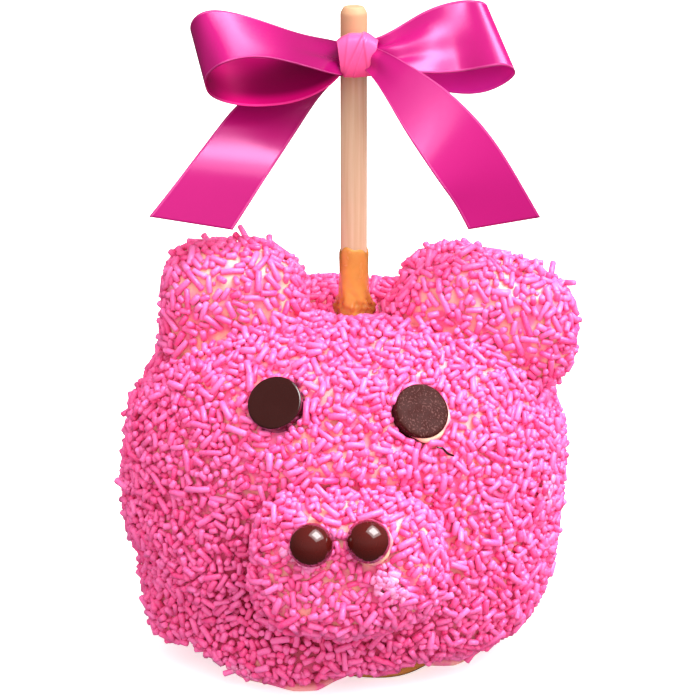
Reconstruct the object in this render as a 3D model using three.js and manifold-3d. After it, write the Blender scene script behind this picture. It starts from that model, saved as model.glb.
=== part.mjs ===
// A dipped apple on a stick, dressed as a pig: a caramel apple under a pale coating and sugar strands,
// with marshmallow ears and snout, chocolate eyes and nostrils, and a ribbon bow tied round the stick.
// Millimetres, +Z up. The origin is the middle of the flat underside and the face looks along -Y.
import * as THREE from "three";
import { mergeVertices } from "three/addons/utils/BufferGeometryUtils.js";
import Module from "manifold-3d";

const wasm = await Module();
wasm.setup();

// ---------------------------------------------------------------- driving dimensions
const GAP = 0.3; // what touching pieces keep between them

// the dipped apple, measured over the bed of strands
const APPLE_CENTRE = new THREE.Vector3(-0.5, 0, 44.4);
const APPLE_HALF_WIDTH = 52.9;
const APPLE_HALF_DEPTH = 50;
const APPLE_RISE = 42; // from the widest level to the shoulder
const APPLE_DROP = 46.5; // from the widest level down to where the underside would close
const SHOULDER_POWER = 2.5; // roundness of the upper half
const BELLY_POWER = 3.6; // the lower half is squarer, sagged on its foot
const LUMP = 0.014; // share of the radius by which the coating wavers
const CRATER_DEPTH = 6.5;
const CRATER_WIDTH = 10;
const SKIRT_TOP = 12; // the skirt of run-down coating is shaped below this level
const SKIRT_SPREAD = { at: -114, width: 28, share: 0.27 }; // degrees, degrees, share of the radius
const SKIRT_TUCK = { at: -56, width: 30, share: -0.12 };
const SKIRT_LEFT = { at: 176, width: 26, share: 0.16 };

// the pad of caramel under the coating, bare where the skirt tucks in
const FOOT_RADIUS = 26;
const FOOT_REACH = 5; // how much further it reaches where it shows
const FOOT_HEIGHT = 2.5;

// the stick
const STICK_DIAMETER = 6.2;
const STICK_LENGTH = 139.7;
const STICK_TOP = 153;
const STICK_CHAMFER = 0.9;
const STICK_X = 1.8;

// caramel drawn up the stick
const COLLAR_BOTTOM = 80.6;
const COLLAR_TOP = 96;
const COLLAR_SLEEVE = 0.35; // thickness up the stick
const COLLAR_LUMP = 1.1; // thickness at its foot

// ears and snout: rounded lumps given by centre, half sizes, squareness and turn
const EAR_LEFT = {
  centre: new THREE.Vector3(-26.6, -5, 82.8),
  half: new THREE.Vector3(18.4, 14.5, 17.4),
  power: 2.6,
  turn: new THREE.Euler(0, THREE.MathUtils.degToRad(-5), 0),
};
const EAR_RIGHT = {
  centre: new THREE.Vector3(32.2, -4, 80.6),
  half: new THREE.Vector3(23.2, 15, 16.6),
  power: 2.4,
  turn: new THREE.Euler(0, THREE.MathUtils.degToRad(16), 0),
};
const SNOUT = {
  centre: new THREE.Vector3(0.2, -52, 37.2),
  half: new THREE.Vector3(22.3, 14.8, 17.2),
  power: 3,
  turn: new THREE.Euler(THREE.MathUtils.degToRad(4), 0, THREE.MathUtils.degToRad(3)),
};

// chocolate face pieces; turn and rise are degrees from straight ahead, seen from the apple's middle
const EYE_DIAMETER = 12.2;
const EYE_THICKNESS = 2.4;
const EYE_SUNK = 1.3;
const EYES = [
  { name: "eye_left", turn: -20.4, rise: 30.2 },
  { name: "eye_right", turn: 22.7, rise: 27.9 },
];
const NOSTRIL_DIAMETER = 9.2;
const NOSTRIL_PROUD = 0.55; // share of the ball that stands out of the snout
const NOSTRILS = [
  { name: "nostril_left", x: -7.6, z: 45.2 },
  { name: "nostril_right", x: 4.9, z: 45.9 },
];

// sugar strands fused to the coating: the largest of them, spread evenly
const STRAND_DIAMETER = 1.5;
const STRAND_LENGTHS = [6, 10];
const STRAND_LIFT = 0.15; // how far a strand's middle line stands above the bed
const STRANDS_ROUND_APPLE = 114;
const STRANDS_ROUND_EAR = 26;
const STRANDS_ROUND_SNOUT = 34;
const STRAND_CLEARANCE = 6; // between a strand's middle and a neighbouring piece
const SEED = 20260417;

// the ribbon bow
const RIBBON_WIDTH = 16;
const RIBBON_THICKNESS = 0.9;
const KNOT_CENTRE = new THREE.Vector3(2.6, -6.9, 142.9);
const KNOT_HALF = new THREE.Vector3(4.5, 3.1, 4.7);
const KNOT_BAND = { thickness: 1.1, height: 8 }; // the turn round the stick
const GATHER_HEIGHT = 6.6; // the ribbon's width where the knot pinches it
const GATHER_RUN = 22; // over which it opens out again
// loops: degrees they lean back from upright and point above level, and the slant of the fold
const LOOP_LEFT = { length: 33, depth: 10.6, tilt: 52, rise: -3, lean: 15, lift: 0 };
const LOOP_RIGHT = { length: 31, depth: 10.2, tilt: 37, rise: 3, lean: -20, lift: 0.8 };
const LOOP_START = 0.5; // where a loop's outline leaves the knot, in radians of its teardrop
// tails: both ends, how much further one corner of the cut reaches, and their curves
const TAIL_LEFT = {
  root: new THREE.Vector3(-3.4, 3.2, 140),
  end: new THREE.Vector3(-35.6, -13, 107),
  slant: -10.5,
  bulge: -4.5,
  bend: 0,
};
const TAIL_RIGHT = {
  root: new THREE.Vector3(7.4, -10.8, 140.5),
  end: new THREE.Vector3(36.6, -15, 106.5),
  slant: 8.1,
  bulge: 4,
  bend: 2.4,
};

// ---------------------------------------------------------------- materials
const COATING = material(0xf05aa8, 0.55);
const CHOCOLATE = material(0x43201a, 0.28);
const CARAMEL = material(0xc97a2b, 0.25);
const WOOD = material(0xe5b58c, 0.75);
const RIBBON = material(0xe0218a, 0.35);

function material(color, roughness) {
  return new THREE.MeshStandardMaterial({ color, roughness, metalness: 0 });
}

// ---------------------------------------------------------------- solids
function solidFrom(geometry) {
  const bare = geometry.clone();
  bare.deleteAttribute("normal");
  bare.deleteAttribute("uv");
  const merged = mergeVertices(bare, 1e-3);
  return new wasm.Manifold(
    new wasm.Mesh({
      numProp: 3,
      vertProperties: new Float32Array(merged.attributes.position.array),
      triVerts: new Uint32Array(merged.index.array),
    }),
  );
}

function meshFrom(solid, name, finish) {
  const { vertProperties, triVerts, numProp } = solid.getMesh();
  const positions = new Float32Array((vertProperties.length / numProp) * 3);
  for (let i = 0; i < positions.length / 3; i++) {
    positions.set(vertProperties.subarray(i * numProp, i * numProp + 3), i * 3);
  }
  const geometry = new THREE.BufferGeometry();
  geometry.setAttribute("position", new THREE.BufferAttribute(positions, 3));
  geometry.setIndex(new THREE.BufferAttribute(new Uint32Array(triVerts), 1));
  geometry.computeVertexNormals();
  const mesh = new THREE.Mesh(geometry, finish);
  mesh.name = name;
  return mesh;
}

// Moves every vertex of a geometry by a function that changes the point it is given.
function reshape(geometry, change) {
  const positions = geometry.attributes.position;
  const point = new THREE.Vector3();
  for (let i = 0; i < positions.count; i++) {
    point.fromBufferAttribute(positions, i);
    change(point);
    positions.setXYZ(i, point.x, point.y, point.z);
  }
  return geometry;
}

// A seeded generator of numbers from 0 to 1.
function randomSource(seed) {
  let state = seed;
  return () => {
    state = (state + 0x6d2b79f5) | 0;
    let t = Math.imul(state ^ (state >>> 15), 1 | state);
    t = (t + Math.imul(t ^ (t >>> 7), 61 | t)) ^ t;
    return ((t ^ (t >>> 14)) >>> 0) / 4294967296;
  };
}

const smooth = (value, from, to) => THREE.MathUtils.smoothstep(value, from, to);

// ---------------------------------------------------------------- the apple's surface
// The radius of a unit direction on a rounded box of unit half sizes.
function squareness(x, y, z, power) {
  return Math.pow(Math.abs(x) ** power + Math.abs(y) ** power + Math.abs(z) ** power, -1 / power);
}

function lumpAt(d) {
  const slow = Math.sin(2.3 * d.x + 1.1) * Math.cos(2.9 * d.y - 0.4) + Math.sin(3.1 * d.z + 2 * d.x);
  const quick = Math.sin(5.2 * d.x - 3.7 * d.z) * Math.cos(4.6 * d.y + 1.9 * d.z + 0.8);
  return LUMP * (0.6 * slow + 0.7 * quick);
}

// How much a stretch of the skirt spreads at an angle round the foot.
function skirtAt(angle, { at, width, share }) {
  const away = THREE.MathUtils.euclideanModulo(angle - at + 180, 360) - 180;
  return share * Math.exp(-((away / width) ** 2));
}

// The point of the apple's surface that lies in a direction from its middle, grown by a margin.
function applePoint(direction, margin = 0) {
  const d = direction.clone().normalize();
  const power = d.z > 0 ? SHOULDER_POWER : BELLY_POWER;
  const rise = d.z > 0 ? APPLE_RISE : APPLE_DROP;
  const across = Math.hypot(d.x / APPLE_HALF_WIDTH, d.y / APPLE_HALF_DEPTH);
  const radius = squareness(across, 0, d.z / rise, power) * (1 + lumpAt(d));
  const point = d.multiplyScalar(radius + margin).add(APPLE_CENTRE);
  if (point.z > APPLE_CENTRE.z) {
    const fromStick = Math.hypot(point.x - STICK_X, point.y);
    point.z -= CRATER_DEPTH * Math.exp(-((fromStick / CRATER_WIDTH) ** 2));
  }
  const angle = THREE.MathUtils.radToDeg(Math.atan2(point.y, point.x));
  const spread = skirtAt(angle, SKIRT_SPREAD) + skirtAt(angle, SKIRT_TUCK) + skirtAt(angle, SKIRT_LEFT);
  const low = 1 - smooth(point.z, 0, SKIRT_TOP);
  point.x *= 1 + spread * low;
  point.y *= 1 + spread * low;
  point.z = Math.max(point.z, -margin);
  return point;
}

function appleBody(margin) {
  const ball = new THREE.SphereGeometry(1, 44, 26);
  ball.rotateX(Math.PI / 2);
  return solidFrom(reshape(ball, (p) => p.copy(applePoint(p, margin))));
}

// A unit vector square to the surface that a function of direction gives.
function normalOn(surface, direction) {
  const side = new THREE.Vector3(-direction.y, direction.x, 0).normalize();
  const up = new THREE.Vector3().crossVectors(direction, side);
  const here = surface(direction);
  const beside = surface(direction.clone().addScaledVector(side, 0.01));
  const above = surface(direction.clone().addScaledVector(up, 0.01));
  const normal = beside.sub(here).cross(above.sub(here)).normalize();
  return normal.dot(direction) < 0 ? normal.negate() : normal;
}

// ---------------------------------------------------------------- ears and snout
function lumpPoint(lump, direction) {
  const { centre, half, power, turn } = lump;
  const local = direction.clone().normalize().applyEuler(inverse(turn));
  const radius = squareness(local.x / half.x, local.y / half.y, local.z / half.z, power);
  const waver = 1 + 2.2 * lumpAt(local.clone().multiplyScalar(1.3));
  return direction.clone().normalize().multiplyScalar(radius * waver).add(centre);
}

function inverse(turn) {
  const quaternion = new THREE.Quaternion().setFromEuler(turn).invert();
  return new THREE.Euler().setFromQuaternion(quaternion);
}

function lumpBody(lump) {
  const ball = new THREE.SphereGeometry(1, 22, 14);
  ball.rotateX(Math.PI / 2);
  return solidFrom(reshape(ball, (p) => p.copy(lumpPoint(lump, p))));
}

// How far a point stands clear of a lump, along the line to its middle.
function clearOfLump(lump, point) {
  const out = point.clone().sub(lump.centre);
  return out.length() - lumpPoint(lump, out).sub(lump.centre).length();
}

function clearOfApple(point) {
  const out = point.clone().sub(APPLE_CENTRE);
  return out.length() - applePoint(out).sub(APPLE_CENTRE).length();
}

// ---------------------------------------------------------------- sugar strands
// One strand, a short rod with rounded ends, along +Y.
function strandGeometry(length) {
  return new THREE.CapsuleGeometry(STRAND_DIAMETER / 2, length - STRAND_DIAMETER, 1, 6);
}

// Evenly spread unit directions, by the golden angle.
function* evenDirections(count) {
  const golden = Math.PI * (3 - Math.sqrt(5));
  for (let i = 0; i < count; i++) {
    const z = 1 - (2 * i + 1) / count;
    const across = Math.sqrt(1 - z * z);
    yield new THREE.Vector3(across * Math.cos(i * golden), across * Math.sin(i * golden), z);
  }
}

// Fuses strands to a body, lying along its surface wherever a test lets them.
function withStrands(body, surface, count, allowed, random) {
  let fused = body;
  for (const direction of evenDirections(count)) {
    const length = THREE.MathUtils.lerp(...STRAND_LENGTHS, random());
    const spin = random() * Math.PI;
    const point = surface(direction);
    if (!allowed(point)) continue;
    const normal = normalOn(surface, direction);
    const along = new THREE.Vector3(0, 0, 1).cross(normal).normalize().applyAxisAngle(normal, spin);
    const side = new THREE.Vector3().crossVectors(along, normal);
    const place = new THREE.Matrix4().makeBasis(side, along, normal);
    place.setPosition(point.addScaledVector(normal, STRAND_LIFT));
    fused = fused.add(solidFrom(strandGeometry(length).applyMatrix4(place)));
  }
  return largestPiece(fused);
}

// The one body that is left once sealed hollows and loose scraps are dropped.
function largestPiece(solid) {
  const pieces = solid.decompose();
  return pieces.reduce((best, piece) => (piece.volume() > best.volume() ? piece : best));
}

// ---------------------------------------------------------------- chocolate pieces
// A flat round drop with soft edges, along +Y with its back at the origin.
function eyeGeometry(radius, thickness) {
  const soft = thickness * 0.38;
  const outline = new THREE.Path();
  outline.moveTo(0, 0);
  outline.lineTo(radius - soft * 0.5, 0);
  outline.quadraticCurveTo(radius, 0, radius, thickness - soft);
  outline.quadraticCurveTo(radius, thickness, radius - soft, thickness);
  outline.lineTo(0, thickness * 0.97);
  return new THREE.LatheGeometry(outline.getPoints(2), 24);
}

function eyePlace({ turn, rise }, proud) {
  const across = THREE.MathUtils.degToRad(turn);
  const up = THREE.MathUtils.degToRad(rise);
  const direction = new THREE.Vector3(
    Math.sin(across) * Math.cos(up),
    -Math.cos(across) * Math.cos(up),
    Math.sin(up),
  );
  const normal = normalOn(applePoint, direction);
  const upright = new THREE.Quaternion().setFromUnitVectors(new THREE.Vector3(0, 1, 0), normal);
  const back = applePoint(direction).addScaledVector(normal, proud);
  return new THREE.Matrix4().compose(back, upright, new THREE.Vector3(1, 1, 1));
}

function eyeBody(eye) {
  return solidFrom(eyeGeometry(EYE_DIAMETER / 2, EYE_THICKNESS).applyMatrix4(eyePlace(eye, -EYE_SUNK)));
}

// The hollow that an eye is pressed into.
function eyeSeat(eye) {
  const seat = new THREE.CylinderGeometry(EYE_DIAMETER / 2 + GAP, EYE_DIAMETER / 2 + GAP, 6, 24);
  seat.translate(0, 3, 0);
  return solidFrom(seat.applyMatrix4(eyePlace(eye, -EYE_SUNK - GAP)));
}

// The middle of a nostril, sunk into the front of the snout.
function nostrilCentre({ x, z }) {
  const radius = NOSTRIL_DIAMETER / 2;
  let front = new THREE.Vector3(x, SNOUT.centre.y - SNOUT.half.y, z);
  for (let i = 0; i < 12; i++) {
    const clear = clearOfLump(SNOUT, front);
    front.y += clear;
  }
  return front.add(new THREE.Vector3(0, -(2 * NOSTRIL_PROUD - 1) * radius, 0));
}

function nostrilBody(nostril, margin = 0) {
  const { x, y, z } = nostrilCentre(nostril);
  const ball = new THREE.SphereGeometry(NOSTRIL_DIAMETER / 2 + margin, 18, 10);
  return solidFrom(ball.translate(x, y, z));
}

// ---------------------------------------------------------------- stick and caramel
function stickBody(margin = 0) {
  const radius = STICK_DIAMETER / 2 + margin;
  const bottom = STICK_TOP - STICK_LENGTH - margin;
  const chamfer = margin ? 0 : STICK_CHAMFER;
  const outline = [
    new THREE.Vector2(0, bottom),
    new THREE.Vector2(radius, bottom),
    new THREE.Vector2(radius, STICK_TOP - chamfer),
    new THREE.Vector2(radius - chamfer, STICK_TOP),
    new THREE.Vector2(0, STICK_TOP),
  ];
  const stick = new THREE.LatheGeometry(chamfer ? outline : outline.toSpliced(3, 1), 24);
  return solidFrom(stick.rotateX(Math.PI / 2).translate(STICK_X, 0, 0));
}

// The caramel round the stick's foot; with a margin it is the solid form of its seat.
function collarBody(margin = 0) {
  const bore = margin ? 0 : STICK_DIAMETER / 2 + GAP;
  const wall = STICK_DIAMETER / 2 + GAP + margin;
  const bottom = COLLAR_BOTTOM - margin;
  const outline = new THREE.Path();
  outline.moveTo(bore, bottom);
  outline.lineTo(wall + COLLAR_LUMP * 0.7, bottom);
  outline.bezierCurveTo(
    wall + COLLAR_LUMP * 1.3, COLLAR_BOTTOM + 1.5,
    wall + COLLAR_LUMP, COLLAR_BOTTOM + 4,
    wall + COLLAR_SLEEVE, COLLAR_BOTTOM + 5.5,
  );
  outline.lineTo(wall + COLLAR_SLEEVE, COLLAR_TOP - 1);
  outline.lineTo(bore, COLLAR_TOP);
  if (bore) outline.lineTo(bore, bottom);
  const collar = new THREE.LatheGeometry(outline.getPoints(4), 20);
  collar.rotateX(Math.PI / 2);
  reshape(collar, (p) => {
    const angle = Math.atan2(p.y, p.x);
    const beyond = Math.max(Math.hypot(p.x, p.y) - STICK_DIAMETER / 2 - GAP, 0);
    const out = beyond * (0.18 * Math.sin(3 * angle + 0.6) + 0.12 * Math.sin(5 * angle));
    const drip = 0.6 * Math.sin(2 * angle - 1) + 0.3 * Math.sin(5 * angle);
    p.x += Math.cos(angle) * out;
    p.y += Math.sin(angle) * out;
    p.z += smooth(p.z, COLLAR_TOP - 2, COLLAR_TOP) * drip;
  });
  return solidFrom(collar.translate(STICK_X, 0, 0));
}

function footBody(margin = 0) {
  const disc = new THREE.CylinderGeometry(1, 1, 1, 48);
  disc.rotateX(Math.PI / 2);
  reshape(disc, (p) => {
    const angle = Math.atan2(p.y, p.x);
    const shown = skirtAt(THREE.MathUtils.radToDeg(angle), { ...SKIRT_TUCK, share: FOOT_REACH });
    const wave = 0.7 * Math.sin(4 * angle + 0.5) + 0.4 * Math.sin(9 * angle);
    const radius = Math.hypot(p.x, p.y) * (FOOT_RADIUS + shown + wave + margin);
    p.set(radius * Math.cos(angle), radius * Math.sin(angle), p.z > 0 ? FOOT_HEIGHT + margin : -margin);
  });
  return solidFrom(disc);
}

// ---------------------------------------------------------------- ribbon bow
// The ribbon's width at a distance from the knot.
function ribbonShare(distance) {
  return THREE.MathUtils.lerp(GATHER_HEIGHT / RIBBON_WIDTH, 1, smooth(distance, 0, GATHER_RUN));
}

// A teardrop outline that starts at a distance from its tip.
function teardrop(length, depth, tip, start) {
  const points = [];
  const steps = 24;
  for (let i = 0; i <= steps; i++) {
    const t = THREE.MathUtils.lerp(start, 2 * Math.PI - start, i / steps);
    const along = tip + ((length - tip) * (1 - Math.cos(t))) / 2;
    points.push(new THREE.Vector2(along, -depth * Math.sin(t) * Math.sin(t / 2)));
  }
  return points;
}

// A loop of ribbon along +X from the knot, open along Z; lean slants its fold, upper edge outwards.
function loopGeometry({ length, depth, lean }) {
  const outline = new THREE.Shape(teardrop(length, depth, 0, LOOP_START));
  const inside = teardrop(length - RIBBON_THICKNESS, depth - RIBBON_THICKNESS * 1.25, 4, LOOP_START / 2);
  outline.holes.push(new THREE.Path(inside.reverse()));
  const loop = new THREE.ExtrudeGeometry(outline, { depth: 1, steps: 2, bevelEnabled: false });
  const slant = Math.tan(THREE.MathUtils.degToRad(lean));
  return reshape(loop, (p) => {
    p.z = (p.z - 0.5) * RIBBON_WIDTH * ribbonShare(p.x);
    p.x += slant * p.z * smooth(p.x, 0, length);
  });
}

// A loop on one side of the knot: side is -1 on the left and 1 on the right.
function loopBody(side, loop) {
  const [tilt, rise] = [loop.tilt, loop.rise].map(THREE.MathUtils.degToRad);
  const outward = new THREE.Vector3(side * Math.cos(rise), 0, Math.sin(rise));
  const upright = new THREE.Vector3(-side * Math.sin(rise), 0, Math.cos(rise));
  const across = upright.multiplyScalar(Math.cos(tilt)).add(new THREE.Vector3(0, Math.sin(tilt), 0));
  const through = new THREE.Vector3().crossVectors(across, outward);
  const start = (loop.length * (1 - Math.cos(LOOP_START))) / 2;
  const root = new THREE.Vector3(side * (KNOT_HALF.x + GAP), 1.2, loop.lift).add(KNOT_CENTRE);
  root.addScaledVector(outward, -start);
  const place = new THREE.Matrix4().makeBasis(outward, through, across).setPosition(root);
  return solidFrom(loopGeometry(loop).applyMatrix4(place));
}

// A tail of ribbon from the knot to its slanted end.
function tailBody({ root, end, slant, bulge, bend }) {
  const along = end.clone().sub(root);
  const length = along.length();
  along.normalize();
  const across = new THREE.Vector3(0, -1, 0).cross(along).normalize();
  const facing = new THREE.Vector3().crossVectors(along, across);
  const strip = new THREE.BoxGeometry(length, RIBBON_WIDTH, RIBBON_THICKNESS, 14, 2, 1);
  strip.translate(length / 2, 0, 0);
  reshape(strip, (p) => {
    const share = p.x / length;
    const crown = Math.sin(Math.PI * share);
    p.y *= ribbonShare(p.x);
    p.x += (slant * share * share * p.y) / RIBBON_WIDTH;
    p.y += bend * crown;
    p.z += bulge * crown;
  });
  const place = new THREE.Matrix4().makeBasis(along, across, facing).setPosition(root);
  return solidFrom(strip.applyMatrix4(place));
}

function knotBody() {
  const pad = new THREE.SphereGeometry(1, 16, 10);
  reshape(pad, (p) => {
    const radius = squareness(p.x, p.y, p.z, 3.2);
    p.multiplyScalar(radius).multiply(KNOT_HALF).add(KNOT_CENTRE);
  });
  const inner = STICK_DIAMETER / 2 + GAP;
  const outer = inner + KNOT_BAND.thickness;
  const half = KNOT_BAND.height / 2;
  const profile = [
    new THREE.Vector2(inner, -half),
    new THREE.Vector2(outer, -half),
    new THREE.Vector2(outer, half),
    new THREE.Vector2(inner, half),
    new THREE.Vector2(inner, -half),
  ];
  const band = new THREE.LatheGeometry(profile, 20);
  band.rotateX(Math.PI / 2).translate(STICK_X, 0, KNOT_CENTRE.z);
  return solidFrom(pad).subtract(stickBody(GAP)).add(solidFrom(band));
}

// ---------------------------------------------------------------- the whole
function build() {
  const random = randomSource(SEED);
  const eyes = EYES.map((eye) => ({ ...eye, middle: new THREE.Vector3().setFromMatrixPosition(eyePlace(eye, 0)) }));
  const nostrils = NOSTRILS.map((nostril) => ({ ...nostril, middle: nostrilCentre(nostril) }));
  const lumps = [EAR_LEFT, EAR_RIGHT, SNOUT];
  const grownApple = appleBody(GAP + 0.05);

  const strandOnApple = (point) =>
    point.z > STRAND_CLEARANCE &&
    Math.hypot(point.x - STICK_X, point.y) > STICK_DIAMETER / 2 + STRAND_CLEARANCE &&
    lumps.every((lump) => clearOfLump(lump, point) > STRAND_CLEARANCE) &&
    eyes.every(({ middle }) => middle.distanceTo(point) > EYE_DIAMETER / 2 + STRAND_CLEARANCE);
  const strandOnLump = (point) =>
    clearOfApple(point) > STRAND_CLEARANCE &&
    nostrils.every(({ middle }) => middle.distanceTo(point) > NOSTRIL_DIAMETER / 2 + STRAND_CLEARANCE);

  let apple = appleBody(0);
  apple = withStrands(apple, applePoint, STRANDS_ROUND_APPLE, strandOnApple, random);
  apple = apple.subtract(stickBody(GAP)).subtract(footBody(GAP)).subtract(collarBody(GAP));
  for (const eye of eyes) apple = apple.subtract(eyeSeat(eye));

  const dressedLump = (lump, count) => {
    const bare = lumpBody(lump).subtract(grownApple);
    return withStrands(largestPiece(bare), (d) => lumpPoint(lump, d), count, strandOnLump, random);
  };
  const earLeft = dressedLump(EAR_LEFT, STRANDS_ROUND_EAR);
  const earRight = dressedLump(EAR_RIGHT, STRANDS_ROUND_EAR);
  let snout = dressedLump(SNOUT, STRANDS_ROUND_SNOUT);
  for (const nostril of nostrils) snout = snout.subtract(nostrilBody(nostril, GAP));

  const group = new THREE.Group();
  group.add(
    meshFrom(largestPiece(apple), "head", COATING),
    meshFrom(earLeft, "ear_left", COATING),
    meshFrom(earRight, "ear_right", COATING),
    meshFrom(largestPiece(snout), "snout", COATING),
    ...eyes.map((eye) => meshFrom(eyeBody(eye), eye.name, CHOCOLATE)),
    ...nostrils.map((nostril) => meshFrom(nostrilBody(nostril), nostril.name, CHOCOLATE)),
    meshFrom(stickBody(), "stick", WOOD),
    meshFrom(collarBody(), "caramel_collar", CARAMEL),
    meshFrom(footBody(), "caramel_foot", CARAMEL),
    meshFrom(knotBody(), "bow_knot", RIBBON),
    meshFrom(loopBody(-1, LOOP_LEFT), "bow_loop_left", RIBBON),
    meshFrom(loopBody(1, LOOP_RIGHT), "bow_loop_right", RIBBON),
    meshFrom(tailBody(TAIL_LEFT), "bow_tail_left", RIBBON),
    meshFrom(tailBody(TAIL_RIGHT), "bow_tail_right", RIBBON),
  );
  return group;
}

export default build();
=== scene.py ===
"""A caramel apple dipped in a pale coating and rolled in sugar strands, with a pig's ears, snout, eyes
and nostrils, on a wooden stick with a satin bow. Shapes are worked out in millimetres and put in the
scene in metres."""

import math

import bmesh
import bpy
import numpy as np
from mathutils import Euler, Matrix, Vector
from mathutils.bvhtree import BVHTree


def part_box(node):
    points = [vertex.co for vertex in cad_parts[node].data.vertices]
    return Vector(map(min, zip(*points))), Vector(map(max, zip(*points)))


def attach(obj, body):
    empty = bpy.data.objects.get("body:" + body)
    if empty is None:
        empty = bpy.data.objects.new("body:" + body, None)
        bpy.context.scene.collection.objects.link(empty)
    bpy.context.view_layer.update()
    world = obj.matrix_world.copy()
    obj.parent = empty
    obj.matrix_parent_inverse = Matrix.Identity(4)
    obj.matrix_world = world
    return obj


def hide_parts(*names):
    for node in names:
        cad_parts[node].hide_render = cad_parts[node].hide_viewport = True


bl_info = {
    "name": "Dipped Apple Pig",
    "version": (1, 0, 0),
    "blender": (4, 5, 0),
    "location": "3D View > Sidebar > Dipped Apple",
    "description": "Builds a strand-coated caramel apple with a pig's face and a ribbon bow",
    "category": "Object",
}

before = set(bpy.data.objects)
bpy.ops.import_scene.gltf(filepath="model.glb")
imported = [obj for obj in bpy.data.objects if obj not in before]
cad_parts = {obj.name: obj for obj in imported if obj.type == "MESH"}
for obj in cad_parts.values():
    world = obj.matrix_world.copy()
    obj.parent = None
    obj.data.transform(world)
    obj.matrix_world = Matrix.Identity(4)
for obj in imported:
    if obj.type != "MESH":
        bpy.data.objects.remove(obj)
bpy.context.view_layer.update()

MM = 0.001
SEED = 20260417

# ------------------------------------------------------------------ sizes shared with the solids, mm
# the apple: a rounded body that is squarer below its middle than above it, and a little lumpy
APPLE_CENTRE = np.array((-0.5, 0.0, 44.4))
APPLE_HALF_WIDTH = 52.9
APPLE_HALF_DEPTH = 50.0
APPLE_RISE = 42.0
APPLE_DROP = 46.5
SHOULDER_POWER = 2.5
BELLY_POWER = 3.6
LUMP = 0.014
LUMP_GAIN = 2.2  # how much lumpier the ears and the snout are
LUMP_FINER = 1.3  # and how much finer
CRATER_DEPTH = 7.0
CRATER_WIDTH = 13.0
CRATER_Y = -1.5
SKIRT_TOP = 12.0
# hollows, and swellings with a depth below nought: middle, reach and depth
DENTS = (
    (-6.0, -45.0, 17.5, (22.0, 15.0, 6.0), 5.5),
    (-22.0, -42.0, 27.0, (6.0, 12.0, 10.0), 4.5),
    (-47.0, -14.0, 22.0, (14.0, 20.0, 8.0), 3.0),
    (-30.0, -36.0, 15.0, (14.0, 14.0, 6.5), 2.4),
    (-39.0, -20.0, 0.0, (13.0, 18.0, 5.0), 11.0),
    (-45.5, -16.0, 9.0, (7.0, 11.0, 4.0), -3.8),
    (47.0, -10.0, 24.0, (12.0, 25.0, 16.0), 2.0),
    (-47.0, -3.0, 68.0, (8.0, 14.0, 5.0), 2.0),
    (48.0, -3.0, 62.0, (8.0, 14.0, 5.0), 2.0),
    (-1.0, -34.0, 1.0, (7.0, 12.0, 4.0), 4.5),
    (19.0, -31.0, 1.0, (7.0, 12.0, 4.5), 4.5),
    (0.5, -50.0, 55.5, (21.0, 8.0, 6.0), -4.2),
)
# where the coating spread as it ran down, or drew in below nought: degrees, width in degrees and share
SKIRTS = ((-113.0, 30.0, 0.30), (-56.0, 30.0, -0.12), (176.0, 26.0, 0.16))

STICK_X = 1.8
STICK_TOP = 153.0
STICK_BOTTOM = 13.3
STICK_END = ((0, 1.7), (0.1, 1.3), (0.65, 0.3), (0.9, 0.06), (1.2, 0))  # its chamfer, inward and under
# the caramel on its foot: heights, and how far out of the wood it stands there
COLLAR_HEIGHTS = (76.5, 79.0, 81.0, 82.7, 84.2, 85.6, 87.2, 89.5, 91.5, 93.5, 95.0, 95.8, 96.1)
COLLAR_OUT = (1.2, 1.4, 1.35, 1.1, 0.75, 0.5, 0.36, 0.3, 0.3, 0.3, 0.3, 0.2, 0.02)
# the section of the pad of caramel under the apple, as shares of its reach and its height
PAD_SECTION = ((0, 0), (0.6, 0), (0.96, 0), (1, 0.3), (1, 0.7), (0.985, 0.95), (0.95, 1), (0.6, 1), (0, 1))

# name: centre, half sizes, squareness, turn in degrees
LUMPS = {
    "ear_left": ((-26.0, -5.0, 82.4), (18.7, 14.5, 17.8), 2.6, (0.0, -3.0, 0.0)),
    "ear_right": ((32.0, -4.0, 80.3), (23.4, 15.0, 16.6), 2.6, (0.0, 15.0, 0.0)),
    "snout": ((0.2, -53.0, 37.0), (22.5, 14.8, 17.1), 2.7, (-7.0, 0.0, 3.0)),
}

EYES = {"eye_left": (-20.4, 30.2), "eye_right": (22.7, 27.9)}  # degrees of turn and rise
EYE_SUNK = 2.2
EYE_THICKNESS = 3.1
NOSTRILS = ("nostril_left", "nostril_right")

# the fallen thread of chocolate: its middle, the way that it lies and the way that it curls
SHAVING = ((22.4, -44.2, 59.7), (0.86, 0.32, -0.42), (-0.3, -0.4, -0.85))

RIBBON_WIDTH = 16.0
KNOT_CENTRE = np.array((2.6, -6.9, 142.9))
KNOT_HALF = np.array((4.5, 3.1, 4.7))
# folds across the knot: where, how much they slant, how high they stand and how soon they fade
KNOT_FOLDS = (
    (-0.14, 0.3, 0.8, 0.2),
    (0.24, -0.12, 0.4, 0.12),
    (0.06, 0.2, 0.4, 0.08),
    (-0.32, 0.1, 0.3, 0.08),
)
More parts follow.
